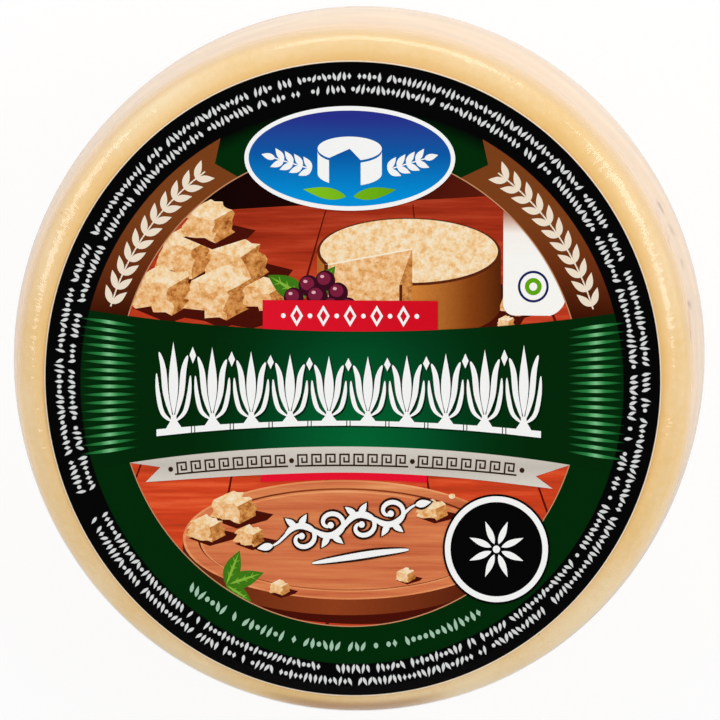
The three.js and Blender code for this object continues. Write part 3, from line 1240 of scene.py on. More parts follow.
picture_circle = circle(PICTURE_MIDDLE, PICTURE_RADIUS + 1.5, 160)
upper_window = [p for p in picture_circle if p[1] > 16]
upper_window = upper_window + [(upper_window[-1][0], 12), (upper_window[0][0], 12)]
upper = Painting("upper_picture", [upper_window], 1)
table_edge = [(-75, 47), (-20, 50.5), (30, 53), (75, 56)]
upper.lay("backdrop", [(-76, 10), (76, 10), (76, 75), (-76, 75)])
upper.lay("table", [(-76, 10), (76, 10), (76, 56.5)] + table_edge[::-1] + [(-76, 46)])
for near_x, far_x in ((-96, -66), (-58, -36), (-20, -8), (22, 18), (64, 44), (104, 70)):
    far_y = 50 + far_x * 0.065
    upper.lay("table_seam", [(near_x, 10), (near_x + 1.0, 10), (far_x + 0.35, far_y), (far_x, far_y)])
pictured_wheel(upper)
upper.lay("shadow", [(-64, 20), (-30, 15), (-12, 20), (-24, 30), (-60, 30)])
HEAPED_CHUNKS = (
    (-50, 36, 17, 0.95, 0.1), (-35, 34, 18, 0.9, -0.12), (-43, 45, 15, 0.85, 0.05),
    (-57, 25, 18, 0.85, 0.0), (-40, 24, 20, 0.8, 0.1), (-26, 24, 13, 0.8, -0.1),
)
GRAPE_LEAVES = ((-14, 24, 150, 13, 6.5), (-13, 23, 52, 13, 6), (-12, 21, 205, 11, 5.5))
GRAPES = (
    (-13, 27.5, 3.1), (-8, 29, 3.0), (-17.5, 24, 3.0), (-4.2, 25.5, 3.0), (-10.5, 24.3, 3.2),
    (-14.5, 20.4, 3.0), (-6, 21.3, 3.2), (-1.2, 21.5, 2.7), (-10.2, 18, 3.1), (-18, 18.4, 2.7),
    (-3, 17, 2.9), (-14.4, 15.4, 2.7), (-6.8, 15, 2.8),
)
for chunk_facts in HEAPED_CHUNKS:
    chunk(upper, *chunk_facts)
for leaf_facts in GRAPE_LEAVES:
    leaf_pair(upper, *leaf_facts)
for grape_facts in GRAPES:
    grape(upper, *grape_facts)
for x, y, size in ((49, 22, 9), (55, 33, 6), (46, 17, 5)):
    chunk(upper, x, y, size, 0.8)
upper.finish(still_inks)

# %% [markdown]
# The lower window holds a round board on the same planks, with a few chunks and crumbs.
# The board is one oval over another, lower one, and what shows between them is its edge.

# %% The lower window
BOARD_AT = (-2, -46.5)
BOARD_WIDE, BOARD_DEEP, BOARD_THICK = 49, 17.5, 4.6


def pictured_board(painting):
    """A round wooden board with a groove round it."""
    x, y = BOARD_AT
    low_y = y - BOARD_THICK
    painting.lay("shadow", oval((x + 4, low_y - 1.6), BOARD_WIDE + 2, BOARD_DEEP + 1, 90))
    painting.lay("board_edge", oval((x, low_y), BOARD_WIDE, BOARD_DEEP, 90))
    painting.lay("board_edge", [(x - BOARD_WIDE, y), (x - BOARD_WIDE, low_y),
                                (x + BOARD_WIDE, low_y), (x + BOARD_WIDE, y)])
    painting.lay("board_light", oval(BOARD_AT, BOARD_WIDE, BOARD_DEEP, 110))
    painting.lay("board", oval(BOARD_AT, BOARD_WIDE - 0.8, BOARD_DEEP - 0.5, 110))
    board_ring(painting, "board_edge", BOARD_AT, BOARD_WIDE - 4.5, BOARD_DEEP - 2.4, 0.8)
    board_ring(painting, "board_light", (x, y - 0.5), BOARD_WIDE - 5.2, BOARD_DEEP - 2.8, 0.6)


lower_window = [p for p in picture_circle if p[1] < -20]
lower_window = [(lower_window[0][0], -17)] + lower_window + [(lower_window[-1][0], -17)]
lower = Painting("lower_picture", [lower_window], 1)
lower.lay("low_table", [(-76, -76), (76, -76), (76, -10), (-76, -10)])
for near_x, far_x in ((-84, -60), (-46, -34), (-8, -8), (30, 20), (72, 50)):
    lower.lay("table_seam", [(near_x, -76), (near_x + 1.0, -76), (far_x + 0.5, -15), (far_x, -15)])
pictured_board(lower)
STREWN_CHUNKS = (
    (-36, -38, 13, 0.75), (-44, -44, 11, 0.75), (-31, -46, 9, 0.75), (24, -38, 9, 0.7),
    (-22, -61, 6, 0.8), (-52, -27, 5, 0.8), (16, -57, 5.5, 0.8),
)
HERB_LEAVES = ((-38, -60, 18, 12, 5), (-38, -60, 68, 11, 5), (-38, -60, -32, 9, 4.2))
for chunk_facts in STREWN_CHUNKS:
    chunk(lower, *chunk_facts)
for leaf_facts in HERB_LEAVES:
    leaf_pair(lower, *leaf_facts)
for x, y, radius in ((30, -33.5, 1.0), (-26, -50, 0.8)):
    lower.lay("crumb_light", oval((x, y), radius, radius * 0.8, 9))
lower.finish(still_inks)

# %% [markdown]
# Printed borders are one small mark, stamped again and again along a line. That is what
# instances are for: a geometry tree turns a path into evenly spaced points, puts a mark
# on each, picked at random from a small set, and turns it to follow the path. Some points
# are dropped at random, which breaks a row into groups of uneven length.

# %% The tree for rows of marks
def marks_tree():
    """Builds the geometry tree that stamps marks along a path."""
    tree, given = new_tree("row_of_marks", "GeometryNodeTree", {
        "Path": "Object", "Marks": "Collection", "Spacing": "Float", "Gap Share": "Float",
        "Size Spread": "Float", "Seed": "Int", "Material": "Material"}, "Geometry")
    path = node(tree, "GeometryNodeObjectInfo", {"Object": given["Path"]})
    spots = node(tree, "GeometryNodeCurveToPoints", {
        "Curve": path.outputs["Geometry"], "Length": given["Spacing"]}, mode="LENGTH")
    dropped = node(tree, "FunctionNodeRandomValue", {
        "Probability": given["Gap Share"], "Seed": given["Seed"]}, data_type="BOOLEAN")
    kept = node(tree, "GeometryNodeDeleteGeometry", {"Geometry": spots.outputs["Points"],
                "Selection": dropped.outputs[3]}, domain="POINT")
    marks = node(tree, "GeometryNodeCollectionInfo", {
        "Collection": given["Marks"], "Separate Children": True, "Reset Children": True})
    next_seed = sums(tree, "ADD", given["Seed"], 1)
    choice = node(tree, "FunctionNodeRandomValue", {"Seed": next_seed}, data_type="INT")
    choice.inputs[5].default_value = 999
    turned = node(tree, "FunctionNodeAlignRotationToVector", {
        "Vector": spots.outputs["Tangent"]}, axis="X", pivot_axis="Z")
    low, high = (sums(tree, way, 1.0, given["Size Spread"]) for way in ("SUBTRACT", "ADD"))
    tall = node(tree, "FunctionNodeRandomValue", {
        2: low, 3: high, "Seed": given["Seed"]}, data_type="FLOAT")
    size = joined(tree, 1.0, tall.outputs[1], 1.0)
    stamped = node(tree, "GeometryNodeInstanceOnPoints", {
        "Points": kept.outputs[0], "Instance": marks.outputs[0], "Pick Instance": True,
        "Instance Index": choice.outputs[2], "Rotation": turned.outputs[0], "Scale": size})
    real = node(tree, "GeometryNodeRealizeInstances", {"Geometry": stamped.outputs[0]})
    inked = node(tree, "GeometryNodeSetMaterial", {
        "Geometry": real.outputs[0], "Material": given["Material"]})
    feed(tree, tree.nodes.new("NodeGroupOutput").inputs[0], inked.outputs[0])
    return tree


row_of_marks = marks_tree()


def mark_set(name, marks):
    """A collection of small flat marks. Each mark is a list of shapes."""
    collection = bpy.data.collections.new(name)
    for number, shapes in enumerate(marks):
        mesh = sheet_mesh("%s_%02d" % (name, number), shapes, INK_THICKNESS)
        collection.objects.link(bpy.data.objects.new(mesh.name, mesh))
    return collection


def marks_along(name, lines, marks, spacing, level, material, gap_share=0.0, spread=0.0, seed=1):
    """Prints a row of marks along lines, as one piece."""
    path = curve_object(name + "_path", [[(x * MM, y * MM, 0) for x, y in line] for line in lines])
    collection = mark_set(name + "_marks", marks)
    values = {"Path": path, "Marks": collection, "Spacing": spacing * MM, "Gap Share": gap_share,
              "Size Spread": spread, "Seed": seed, "Material": material}
    row = run_tree(name, row_of_marks, values)
    mesh = row.data
    for spare in [row, path] + list(collection.objects):
        bpy.data.objects.remove(spare)
    bpy.data.collections.remove(collection)
    print(name, "has", len(mesh.polygons), "faces")
    return print_mesh(mesh, material, level)


# %% Strokes and bars
def bar(x, y, width, height, turn=0.0):
    """A rectangle about a place."""
    corners = [(-width / 2, -height / 2), (width / 2, -height / 2), (width / 2, height / 2),
               (-width / 2, height / 2)]
    return placed(corners, x, y, turn)


def lozenge(x, y, width, height):
    """A diamond about a place."""
    return [(x, y - height / 2), (x + width / 2, y), (x, y + height / 2), (x - width / 2, y)]


def stroke(points, width):
    """A line of even width through places, as bars with square ends."""
    bars = []
    for (ax, ay), (bx, by) in zip(points, points[1:]):
        length = math.hypot(bx - ax, by - ay) + width
        bars.append([bar((ax + bx) / 2, (ay + by) / 2, length, width,
                         math.degrees(math.atan2(by - ay, bx - ax)))])
    return bars


# %% [markdown]
# Two rows of small pale marks run round the black ring. They are grains, beads and
# lozenges, sown like seed with gaps here and there, so the ring gets its fine grey texture.

# %% The ring's small marks
def grain_mark(length, width, turn):
    """A pointed grain that stands on the row and leans by an angle."""
    lean = math.radians(90 + turn)
    foot_x, foot_y = -length / 2 * math.cos(lean), -length / 2 * math.sin(lean)
    return [placed(leaf(length, width, 6), foot_x, foot_y, 90 + turn)]


small_marks = (
    [grain_mark(2.8, 1.05, 0)], [grain_mark(2.7, 1.0, 24)], [grain_mark(2.7, 1.0, -24)],
    [grain_mark(2.6, 1.0, 12)], [[lozenge(0, 0, 1.2, 1.9)]], [[oval((0, 0), 0.58, 0.66, 10)]],
    [grain_mark(3.0, 0.9, -12)],
)
grey_white = flat_ink("small_mark_ink", colour("DADCDA"), 0.05)
for row_name, radius, seed in (("outer_row", 88.1, 3), ("inner_row", 84.4, 8)):
    row_path = arc((0, 0), radius, 562, 208, 400)
    marks_along(row_name, [row_path], small_marks, 1.5, 8, grey_white, 0.12, 0.1, seed)
pale_green = flat_ink("pale_green_ink", colour("A5C9AE"), 0.05)


def enlarged(mark, size):
    """The same mark, made larger."""
    return [[placed(loop, 0, 0, 0, size) for loop in shape] for shape in mark]


large_marks = [enlarged(mark, 1.2) for mark in small_marks]
green_path = arc(RING_MIDDLE, 76.4, 231, 300, 120)
marks_along("green_row", [green_path], large_marks, 1.9, 8, pale_green, 0.12, 0.08, 5)

# %% [markdown]
# Two brown panels run up the ring beside the picture, each ending in a swallow tail. A
# laurel branch fills them: one pair of leaves with its piece of stem, repeated.

# %% Brown panels with laurel
PANEL_LOW = 172
PANEL_HIGH = 118.5
PANEL_NOTCH = 122.5
panel_brown = fading_ink("panel_brown", ((0.0, "7C401A"), (0.45, "6B2F12"), (1.0, "340900")),
                         start=(0, 47), end=(0, 17), amount=0.16)


def panel(high, notch, low):
    """A field between the picture and the black ring, from a swallow tail down to the band."""
    return (arc(RING_MIDDLE, RING_INNER + 0.3, low, high, 30) + [on_oval(RING_MIDDLE, 76, 76, notch)]
            + arc(PICTURE_MIDDLE, PICTURE_RADIUS, high, low, 30))


ink("brown_panels", [[panel(PANEL_HIGH, PANEL_NOTCH, PANEL_LOW)],
                     [panel(180 - PANEL_HIGH, 180 - PANEL_NOTCH, 180 - PANEL_LOW)]], 4, panel_brown)
cream_ink = flat_ink("cream_ink", colour("F3E4CE"), 0.05)
laurel = [[placed(leaf(5.6, 2.1, 8), -1.3, 0.25, 33)], [placed(leaf(5.6, 2.1, 8), -1.3, -0.25, -33)],
          [bar(0, 0, 4.4, 0.45)]]
left_branch = arc(RING_MIDDLE, 75.7, 161, 127, 60)
right_branch = [(2 * RING_MIDDLE[0] - x, y) for x, y in left_branch]
marks_along("laurel", [left_branch, right_branch], [laurel], 4.25, 6, cream_ink)

# %% [markdown]
# At each end of the band, thin ribs of light lie one above the next, as on pleated cloth.
# Each rib is pointed at both ends and fades out along its length, so it seems to curve.

# %% The ribs at the band's ends
RIB_COUNT = 17
RIB_TOP, RIB_STEP = 16.6, 2.34
RIB_MIDDLE, RIB_HALF = 73, 8.8
RIB_TONES = ((0.05, "063A12"), (0.35, "2B8443"), (0.5, "7CC48A"), (0.65, "2B8443"), (0.95, "063A12"))


def rib(height, side):
    """One thin rib of light, thick in its middle, fanning with the band."""
    upper, lower = [], []
    for i in range(13):
        share = i / 12
        x = RIB_MIDDLE + RIB_HALF * (2 * share - 1)
        y = -2.1 + (height + 2.1) * (1 + 0.0075 * (x - RIB_MIDDLE))
        half = 0.52 * math.sin(math.pi * share) ** 0.8
        upper.append((side * x, y + half))
        lower.append((side * x, y - half))
    return upper + lower[1:-1][::-1]


for side, side_name in ((-1, "left"), (1, "right")):
    start, end = (side * (RIB_MIDDLE + RIB_HALF * way) for way in (-1, 1))
    rib_light = fading_ink("rib_light_" + side_name, RIB_TONES, start=(start, 0), end=(end, 0))
    drop = 0.5 if side > 0 else 0.0
    ribs = [[rib(RIB_TOP - drop - RIB_STEP * i, side)] for i in range(RIB_COUNT)]
    ink("ribs_" + side_name, ribs, 8, rib_light)

# %% [markdown]
# The band carries a tall white frieze of palmettes, an ornament as old as Greek pottery.
# It is taller at the ends than in the middle. The tree stamps one palmette, drawn between
# minus one and one, along a straight line, and then moves every point to its height
# between the two curved edges. The stretch is a formula, so a change to it moves the lot.

# %% The tree for the frieze
def frieze_tree():
    """Builds the geometry tree that repeats a unit and fits it between two curved edges."""
    tree, given = new_tree("frieze_between_edges", "GeometryNodeTree", {
        "Unit": "Object", "Count": "Int", "Left": "Float", "Unit Width": "Float",
        "Axis Height": "Float", "Axis Curve": "Float", "Half Height": "Float",
        "Half Curve": "Float", "Material": "Material"}, "Geometry")
    unit = node(tree, "GeometryNodeObjectInfo", {"Object": given["Unit"]})
    line = node(tree, "GeometryNodeMeshLine", {
        "Count": given["Count"], "Start Location": joined(tree, given["Left"]),
        "Offset": joined(tree, given["Unit Width"])}, mode="OFFSET")
    stamped = node(tree, "GeometryNodeInstanceOnPoints", {
        "Points": line.outputs[0], "Instance": unit.outputs["Geometry"]})
    real = node(tree, "GeometryNodeRealizeInstances", {"Geometry": stamped.outputs[0]})
    at = split(tree, node(tree, "GeometryNodeInputPosition").outputs[0])
    squared = product(tree, at["X"], at["X"])
    axis = sums(tree, "MULTIPLY_ADD", squared, given["Axis Curve"], given["Axis Height"])
    half = sums(tree, "MULTIPLY_ADD", squared, given["Half Curve"], given["Half Height"])
    share = sums(tree, "DIVIDE", at["Y"], MM)
    moved = joined(tree, at["X"], sums(tree, "MULTIPLY_ADD", share, half, axis), at["Z"])
    fitted = node(tree, "GeometryNodeSetPosition", {
        "Geometry": real.outputs[0], "Position": moved})
    inked = node(tree, "GeometryNodeSetMaterial", {
        "Geometry": fitted.outputs[0], "Material": given["Material"]})
    feed(tree, tree.nodes.new("NodeGroupOutput").inputs[0], inked.outputs[0])
    return tree


FRIEZE_LEFT, FRIEZE_RIGHT, FRIEZE_COUNT = -59.5, 57.3, 10
FRIEZE_UNIT = (FRIEZE_RIGHT - FRIEZE_LEFT) / FRIEZE_COUNT


def mirrored(loop):
    """The same loop on the other side of its middle line."""
    return [(-x, y) for x, y in loop]


def palmette():
    """One palmette: a tall bud, two pairs of bending leaves, a foot and a bead at its side."""
    bud = [(1.55 * math.sin(math.pi * t) * (1.15 - 0.5 * t), -0.62 + 1.6 * t)
           for t in np.linspace(0, 1, 15)]
    shapes = [[bud + mirrored(bud)[1:-1][::-1]]]
    inner = stretched_stroke([(0.6, -0.62), (2.3, -0.15), (3.1, 0.4), (4.3, 0.72)], 1.75)
    outer = stretched_stroke([(0.7, -0.72), (3.4, -0.52), (4.7, -0.12), (5.1, 0.28)], 1.35)
    for loop in (inner, outer):
        shapes += [[loop], [mirrored(loop)]]
    shapes.append([bar(0, -0.93, FRIEZE_UNIT - 1.3, 0.14)])
    foot = [(-2.4, -0.87), (2.4, -0.87), (0.9, -0.7), (0.8, -0.58), (-0.8, -0.58), (-0.9, -0.7)]
    shapes.append([foot])
    return shapes


def stretched_stroke(points, width):
    """A brush stroke in the palmette's own measure, which squeezes heights to a twelfth."""
    tall = 12.0
    return [(x, y / tall) for x, y in brush_stroke([(x, y * tall) for x, y in points], width, 0.1)]


def frieze_piece(name, shapes, count, left, drop, level, material):
    """One run of a unit between the two edges, shifted for a shadow by a drop."""
    unit = add_object(name + "_unit", sheet_mesh(name + "_unit", shapes, INK_THICKNESS))
    row = run_tree(name, frieze_between_edges, {
        "Unit": unit, "Count": count, "Left": (left + drop) * MM, "Unit Width": FRIEZE_UNIT * MM,
        "Axis Height": (-2.9 - drop) * MM, "Axis Curve": 0.0002 / MM, "Half Height": 10.2 * MM,
        "Half Curve": 0.0012 / MM, "Material": material})
    mesh = row.data
    for spare in (row, unit):
        bpy.data.objects.remove(spare)
    return print_mesh(mesh, material, level)


frieze_between_edges = frieze_tree()
frieze_shadow = flat_ink("frieze_shadow", colour("001C08"), 0.1)
bead = [[lozenge(0, 0.74, 2.0, 0.38)], [bar(0, -0.93, 0.7, 0.14)]]
first_palmette, first_bead = FRIEZE_LEFT + FRIEZE_UNIT / 2, FRIEZE_LEFT + FRIEZE_UNIT
for name, *way in (("shadow", 0.42, 8, frieze_shadow), ("white", 0.0, 9, white_ink)):
    frieze_piece("palmettes_" + name, palmette(), FRIEZE_COUNT, first_palmette, *way)
    frieze_piece("beads_" + name, bead, FRIEZE_COUNT - 1, first_bead, *way)

# %% [markdown]
# Below the band hangs a cream ribbon with swallow tails. Its pattern is a running key, in
# three runs with a dot before and after each.

# %% Ribbon, key pattern and red fields
RIBBON_LEFT, RIBBON_RIGHT = -67.0, 65.4
ribbon_low = smooth_line([(-62.2, -30.0), (-30, -27.8), (0, -26.8), (30, -28.0), (60.2, -31.1)], 12)
ribbon_top = [(x, band_bottom(x)) for x in np.linspace(RIBBON_RIGHT, RIBBON_LEFT, 48)]
ribbon_cream = fading_ink("ribbon_cream", ((0.0, "DDD6CB"), (0.5, "C9C1B6"), (1.0, "E0DACF")),
                          start=(0, -19), end=(0, -31), amount=0.12)
ink("ribbon", [[[(-57.7, -25.6)] + ribbon_low + [(55.1, -27.5)] + ribbon_top]], 7, ribbon_cream)
key_brown = flat_ink("key_brown", colour("34200F"), 0.1)
key_unit = stroke([(-2.05, -1.6), (2.05, -1.6)], 0.5)
key_hook = [(-1.35, -1.6), (-1.35, 1.6), (1.3, 1.6), (1.3, -0.55), (-0.15, -0.55), (-0.15, 0.55)]
key_unit += stroke(key_hook, 0.5)


def ribbon_middle(x):
    """The height of the ribbon's middle line."""
    return -23.1 - 0.00104 * x * x


key_runs = [[(x, ribbon_middle(x)) for x in np.linspace(start, end, 24)]
            for start, end in ((-51.2, -21.6), (-14.9, 14.6), (21.3, 47.2))]
marks_along("key_pattern", key_runs, [key_unit], 4.2, 8, key_brown)
key_dots = [[circle((x, ribbon_middle(x)), 0.75, 16)] for x in (-54.6, -18.2, 18.1, 51.0)]
ink("key_dots", key_dots, 8, key_brown)

red_top = fading_ink("red_field_ink", ((0.0, "E5152B"), (1.0, "D50D20")), start=(-27, 23),
                     end=(26, 14), amount=0.08)
red_field = [(-26.8, 23.3)] + [(x, band_top(x)) for x in np.linspace(-26.8, 25.7, 24)] + [(25.7, 23.3)]
ink("red_field", [[red_field]], 9, red_top)
red_low = flat_ink("red_bar_ink", colour("EC132F"), 0.08)
bar_top = [p for p in ribbon_low if -28 <= p[0] <= 24.2]
ink("red_bar", [[bar_top + [(x, y - 2.1) for x, y in bar_top[::-1]]]], 8, red_low)
jewels = [[lozenge(x, 18.8, 3.8, 6.2), lozenge(x, 18.8, 2.0, 3.4)]
          for x in (-16.6, -8.6, -0.6, 7.4, 15.4)]
jewels += [[circle((x, 18.8), 0.7, 16)] for x in (-20.6, -12.6, -4.6, 3.4, 11.4, 19.4)]
ink("red_field_jewels", jewels, 10, white_ink)

# %% [markdown]
# At the top sits an oval cartouche, blue from navy down to a bright sky, with a white
# border. A plain little cheese and two sprigs are all that it shows.

# %% The cartouche
CARTOUCHE_AT = (-0.7, 64.4)
CARTOUCHE_WIDE, CARTOUCHE_TALL = 31.5, 15.1
cartouche_blue = fading_ink("cartouche_blue", ((0.0, "28328C"), (0.45, "0A5AA8"),
                            (1.0, "0092DC")), start=(0, 76), end=(0, 53), amount=0.05)
ink("cartouche_border", [[oval(CARTOUCHE_AT, CARTOUCHE_WIDE, CARTOUCHE_TALL, 120)]], 8, white_ink)
cartouche_field = oval(CARTOUCHE_AT, CARTOUCHE_WIDE - 1.3, CARTOUCHE_TALL - 1.3, 120)
ink("cartouche_field", [[cartouche_field]], 9, cartouche_blue)


def small_cheese(x, y, wide, deep, tall):
    """Three outlines of a small cheese with a wedge cut out: its top, and its side in two parts."""
    top = oval_arc((x, y), wide, deep, -70, 230, 48) + [(x, y)]
    high, low = (x, y - 0.7), (x, y - tall)
    left_side = oval_arc(high, wide, deep, 180, 230, 10) + oval_arc(low, wide, deep, 230, 180, 10)
    right_side = oval_arc(high, wide, deep, 290, 360, 14) + oval_arc(low, wide, deep, 360, 290, 14)
    return [[top], [left_side], [right_side]]


def sprig(x, y, turn, pairs=4, step=2.9, length=4.4, width=1.9):
    """A small branch with leaves in pairs, as outlines."""
    outlines = [bar(pairs * step / 2, 0, pairs * step, 0.35)]
    for i in range(pairs):
        for side in (1, -1):
            outlines.append(placed(leaf(length, width, 6), i * step, 0.12 * side, 38 * side))
    outlines.append(placed(leaf(length, width, 6), pairs * step - 0.3, 0, 0))
    return [[placed(outline, x, y, turn)] for outline in outlines]


ink("cartouche_cheese", small_cheese(-0.7, 67.2, 9.6, 3.5, 7.2), 10, white_ink)
ink("cartouche_sprigs", sprig(10.6, 61.2, 16) + sprig(-12.0, 61.2, 164), 10, white_ink)
fresh_green = fading_ink("fresh_green", ((0.0, "86C81E"), (1.0, "62A80E")), start=(-14, 56),
                         end=(14, 52))
lower_leaf = leaf(13, 3.4, 14)
lower_leaves = [[placed(lower_leaf, 0.4, 53.4, 9)], [placed(lower_leaf, -1.8, 53.4, 171)]]
ink("cartouche_leaves", lower_leaves, 10, fresh_green)

# %% [markdown]
# A white tab with rounded lower corners hangs beside the pictured wheel. Its plain round
# stamp is a ring and a spot. The round medallion, lower down, carries a rosette.

# %% The white tab and its stamp
tab_white = fading_ink("tab_white", ((0.0, "FFFDF8"), (0.5, "FDF6EF"), (0.75, "D8B2A2"),
                       (1.0, "8E513B")), start=(50, 36), end=(50, 50), amount=0.03)
tab_round = arc((48.6, 22.6), 3.4, 180, 262, 8) + arc((57.6, 25.4), 6.4, 284, 352, 10)
ink("tab", [[[(45.2, 60)] + tab_round + [(66, 34), (66, 60)]]], 2, tab_white)
navy_ink = flat_ink("navy_ink", colour("141E5A"), 0.05)
ink("tab_ring", [[circle((54.2, 27.6), 4.6, 48), circle((54.2, 27.6), 3.9, 48)]], 3, navy_ink)
ink("tab_spot", [[circle((54.2, 27.6), 2.5, 36), circle((54.2, 27.6), 1.2, 24)]], 3, fresh_green)

# %% The round medallion
MEDAL_AT = (43.4, -48.9)
ink("medal_edge", [[circle(MEDAL_AT, 16.1, 90)]], 10, black_ink)
ink("medal_ring", [[circle(MEDAL_AT, 15.5, 90), circle(MEDAL_AT, 13.8, 90)]], 11, white_ink)
PETAL_COUNT = 8
PETAL_LONG, PETAL_WIDE, PETAL_START = 7.2, 1.9, 1.6


def petal(turn):
    """One petal of the rosette, turned by degrees about the medallion's middle."""
    foot = on_oval(MEDAL_AT, PETAL_START, PETAL_START, turn)
    return [placed(leaf(PETAL_LONG, PETAL_WIDE, 10), *foot, turn)]


rosette = [petal(22.5 + 360 / PETAL_COUNT * i) for i in range(PETAL_COUNT)]
ink("medal_rosette", rosette + [[circle(MEDAL_AT, 1.1, 24)]], 11, white_ink)
print("the medallion's rosette has", len(rosette), "petals")

# %% [markdown]
# A white flourish lies over the lower picture, with a dark edge round it that keeps it
# clear of the wood. The dark one is the same set of brush strokes, only wider.

# %% The flourish
FLOURISH_AT = (-2.4, -42.2)
FLOURISH_SLOPE = 11
WAVE_LONG, WAVE_TALL = 9.2, 2.0


def scroll_arm(middle, side):
    """A spiral arm inside one half wave of the stem, as places."""
    places = []
    for i in range(16):
        share = i / 15
        angle = math.radians(158 - 430 * share)
        size = 4.6 * (1 - share) ** 0.85 + 0.75
        x, y = middle + 0.6 + size * math.cos(angle), size * 0.86 * math.sin(angle) - 1.4
        places.append((x, side * y))
    return places


def flourish(extra):
    """A vine scroll: a waving stem, spiral arms with buds, and leaves, widened by an amount."""
    stem_xs = np.linspace(-2.4, 2.4, 25) * WAVE_LONG
    stem = [(x, WAVE_TALL * math.sin(math.pi * x / WAVE_LONG)) for x in stem_xs]
    shapes = [brush_stroke(stem, 1.5 + extra, 0.35)]
    for i in range(-2, 2):
        middle, side = (i + 0.5) * WAVE_LONG, 1 if i % 2 == 0 else -1
        arm = scroll_arm(middle, side)
        shapes += [brush_stroke(arm, 1.35 + extra, 0.3), circle(arm[-1], 0.95 + extra / 2, 20)]
        for turn in (48, 132):
            lean = math.radians(turn)
            root_x = middle + 0.6 * math.cos(lean) - extra / 2 * math.cos(lean)
            root_y = side * (WAVE_TALL - extra / 2)
            shapes.append(placed(leaf(4.4 + extra, 1.9 + extra, 8), root_x, root_y, side * turn))
    for end in (-1, 1):
        x = end * 2.4 * WAVE_LONG
        y = WAVE_TALL * math.sin(math.pi * x / WAVE_LONG)
        end_leaf = leaf(5.0 + extra, 2.2 + extra, 10)
        shapes.append(placed(end_leaf, x - end * extra / 2, y, 0 if end > 0 else 180))
    shapes = [placed(shape, *FLOURISH_AT, FLOURISH_SLOPE) for shape in shapes]
    shapes.append(brush_stroke([(-12, -53.4), (-1, -51.6), (8, -50.2), (17, -49.2)], 1.9 + extra, 0.2))
    return [[shape] for shape in shapes]


flourish_dark = flat_ink("flourish_edge", colour("2A0F06"), 0.1)
ink("flourish_edge", flourish(1.3), 9, flourish_dark)
ink("flourish", flourish(0.0), 10, white_ink)

# %% [markdown]
# The photo's ground is plain white. A large pale floor carries the wheel's soft shadow.
# Glossy film shows its lamps as streaks, so a streak's place and length give the lamp: the
# direction that the film mirrors there, worked out from the section's slope. Three long
# strip lamps follow from the three streaks on the shoulder: one past the top of the
# picture, and one on each side. No lamp shines from the picture's lower edge, which leaves
# that rim darker. A soft white world fills in the rest.

# %% Floor, world and lamps
FLOOR_SIZE = 6.0
FLOOR_LIFT = 0.85


def make_floor():
    """A wide pale floor, which the camera sees as almost pure white."""
    mesh = bpy.data.meshes.new("floor")
    half = FLOOR_SIZE / 2
    corners = [(-half, -half, 0), (half, -half, 0), (half, half, 0), (-half, half, 0)]
    mesh.from_pydata(corners, [], [(0, 1, 2, 3)])
    floor = add_object("floor", mesh)
    material, tree, output = new_material("pale_floor")
    surface = node(tree, "ShaderNodeBsdfPrincipled", {"Roughness": 0.9})
    surface.inputs["Base Color"].default_value = (0.93, 0.93, 0.93, 1)
    surface.inputs["Specular IOR Level"].default_value = 0.0
    white = node(tree, "ShaderNodeEmission", {"Strength": 1.02})
    from_camera = node(tree, "ShaderNodeLightPath").outputs["Is Camera Ray"]
    seen = product(tree, from_camera, FLOOR_LIFT)
    lifted = node(tree, "ShaderNodeMixShader", {0: seen, 1: surface.outputs[0], 2: white.outputs[0]})
    feed(tree, output.inputs["Surface"], lifted.outputs[0])
    mesh.materials.append(material)
    return floor


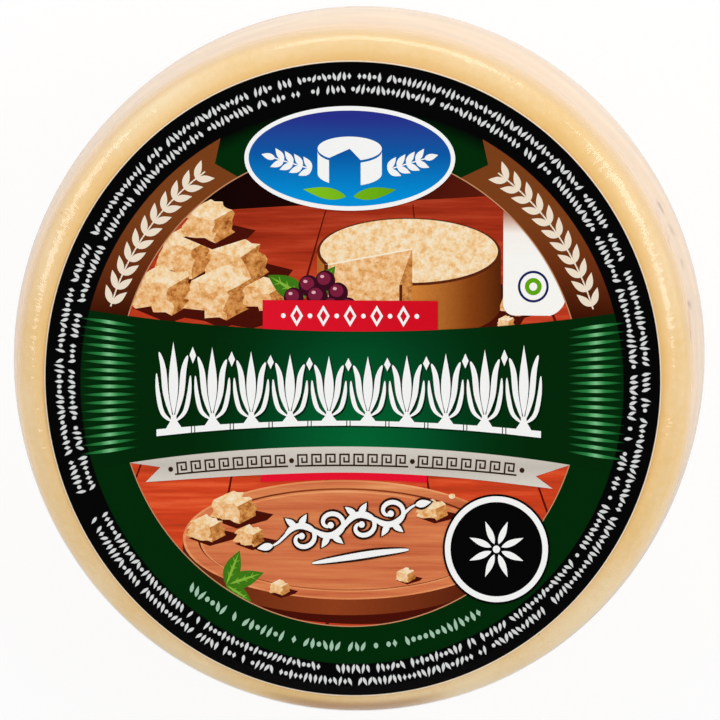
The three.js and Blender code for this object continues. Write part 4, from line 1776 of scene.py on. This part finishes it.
def make_lamp(name, place, size, power, along):
    """A soft rectangular lamp that faces the wheel, with its first side along a direction."""
    data = bpy.data.lights.new(name, "AREA")
    data.shape = "RECTANGLE"
    data.size, data.size_y = size
    data.energy = power
    lamp = add_object(name, data)
    backward = (Vector(place) - Vector((0, 0, WHEEL_HEIGHT / 2))).normalized()
    side = (Vector(along) - backward * backward.dot(Vector(along))).normalized()
    stand = Matrix((side, backward.cross(side), backward)).transposed().to_4x4()
    stand.translation = place
    lamp.matrix_world = stand
    return lamp


LAMPS = (
    {"name": "top_lamp", "place": (0.16, 1.45, 0.56), "size": (1.3, 0.4), "power": 4.9,
     "along": (1, 0, 0)},
    {"name": "right_lamp", "place": (1.11, 0.46, 0.99), "size": (1.2, 0.44), "power": 6.3,
     "along": (0.11, 0.85, -0.52)},
    {"name": "left_lamp", "place": (-1.22, 0.46, 0.80), "size": (1.15, 0.42), "power": 5.2,
     "along": (-0.03, 0.83, -0.56)},
)
make_floor()
for lamp_facts in LAMPS:
    make_lamp(**lamp_facts)

WORLD_STRENGTH = 0.95
BRIGHT_SIDE = (0.8, -0.6, 0.0)
DIM_SHARE, BRIGHT_SHARE = 0.93, 1.13
WORLD_DOME = 0.68
WORLD_ZENITH = 0.12


def make_world():
    """A soft white room: dim right overhead, so the label mirrors nothing, and brighter on one side."""
    world = bpy.data.worlds.new("studio")
    bpy.context.scene.world = world
    world.use_nodes = True
    tree = world.node_tree
    towards = node(tree, "ShaderNodeTexCoord").outputs["Generated"]
    at = split(tree, towards)
    dome = mapped(tree, at["Z"], 0.0, 0.5, 1.0, WORLD_DOME)
    overhead = mapped(tree, at["Z"], 0.85, 0.98, 1.0, WORLD_ZENITH)
    side = vector_sums(tree, "DOT_PRODUCT", towards, BRIGHT_SIDE, out=1)
    one_sided = mapped(tree, side, -1.0, 1.0, DIM_SHARE, BRIGHT_SHARE)
    strength = product(tree, dome, overhead, one_sided, WORLD_STRENGTH)
    feed(tree, tree.nodes["Background"].inputs["Strength"], strength)
    tree.nodes["Background"].inputs["Color"].default_value = (1, 1, 1, 1)


make_world()
bpy.context.scene.view_settings.view_transform = "Standard"
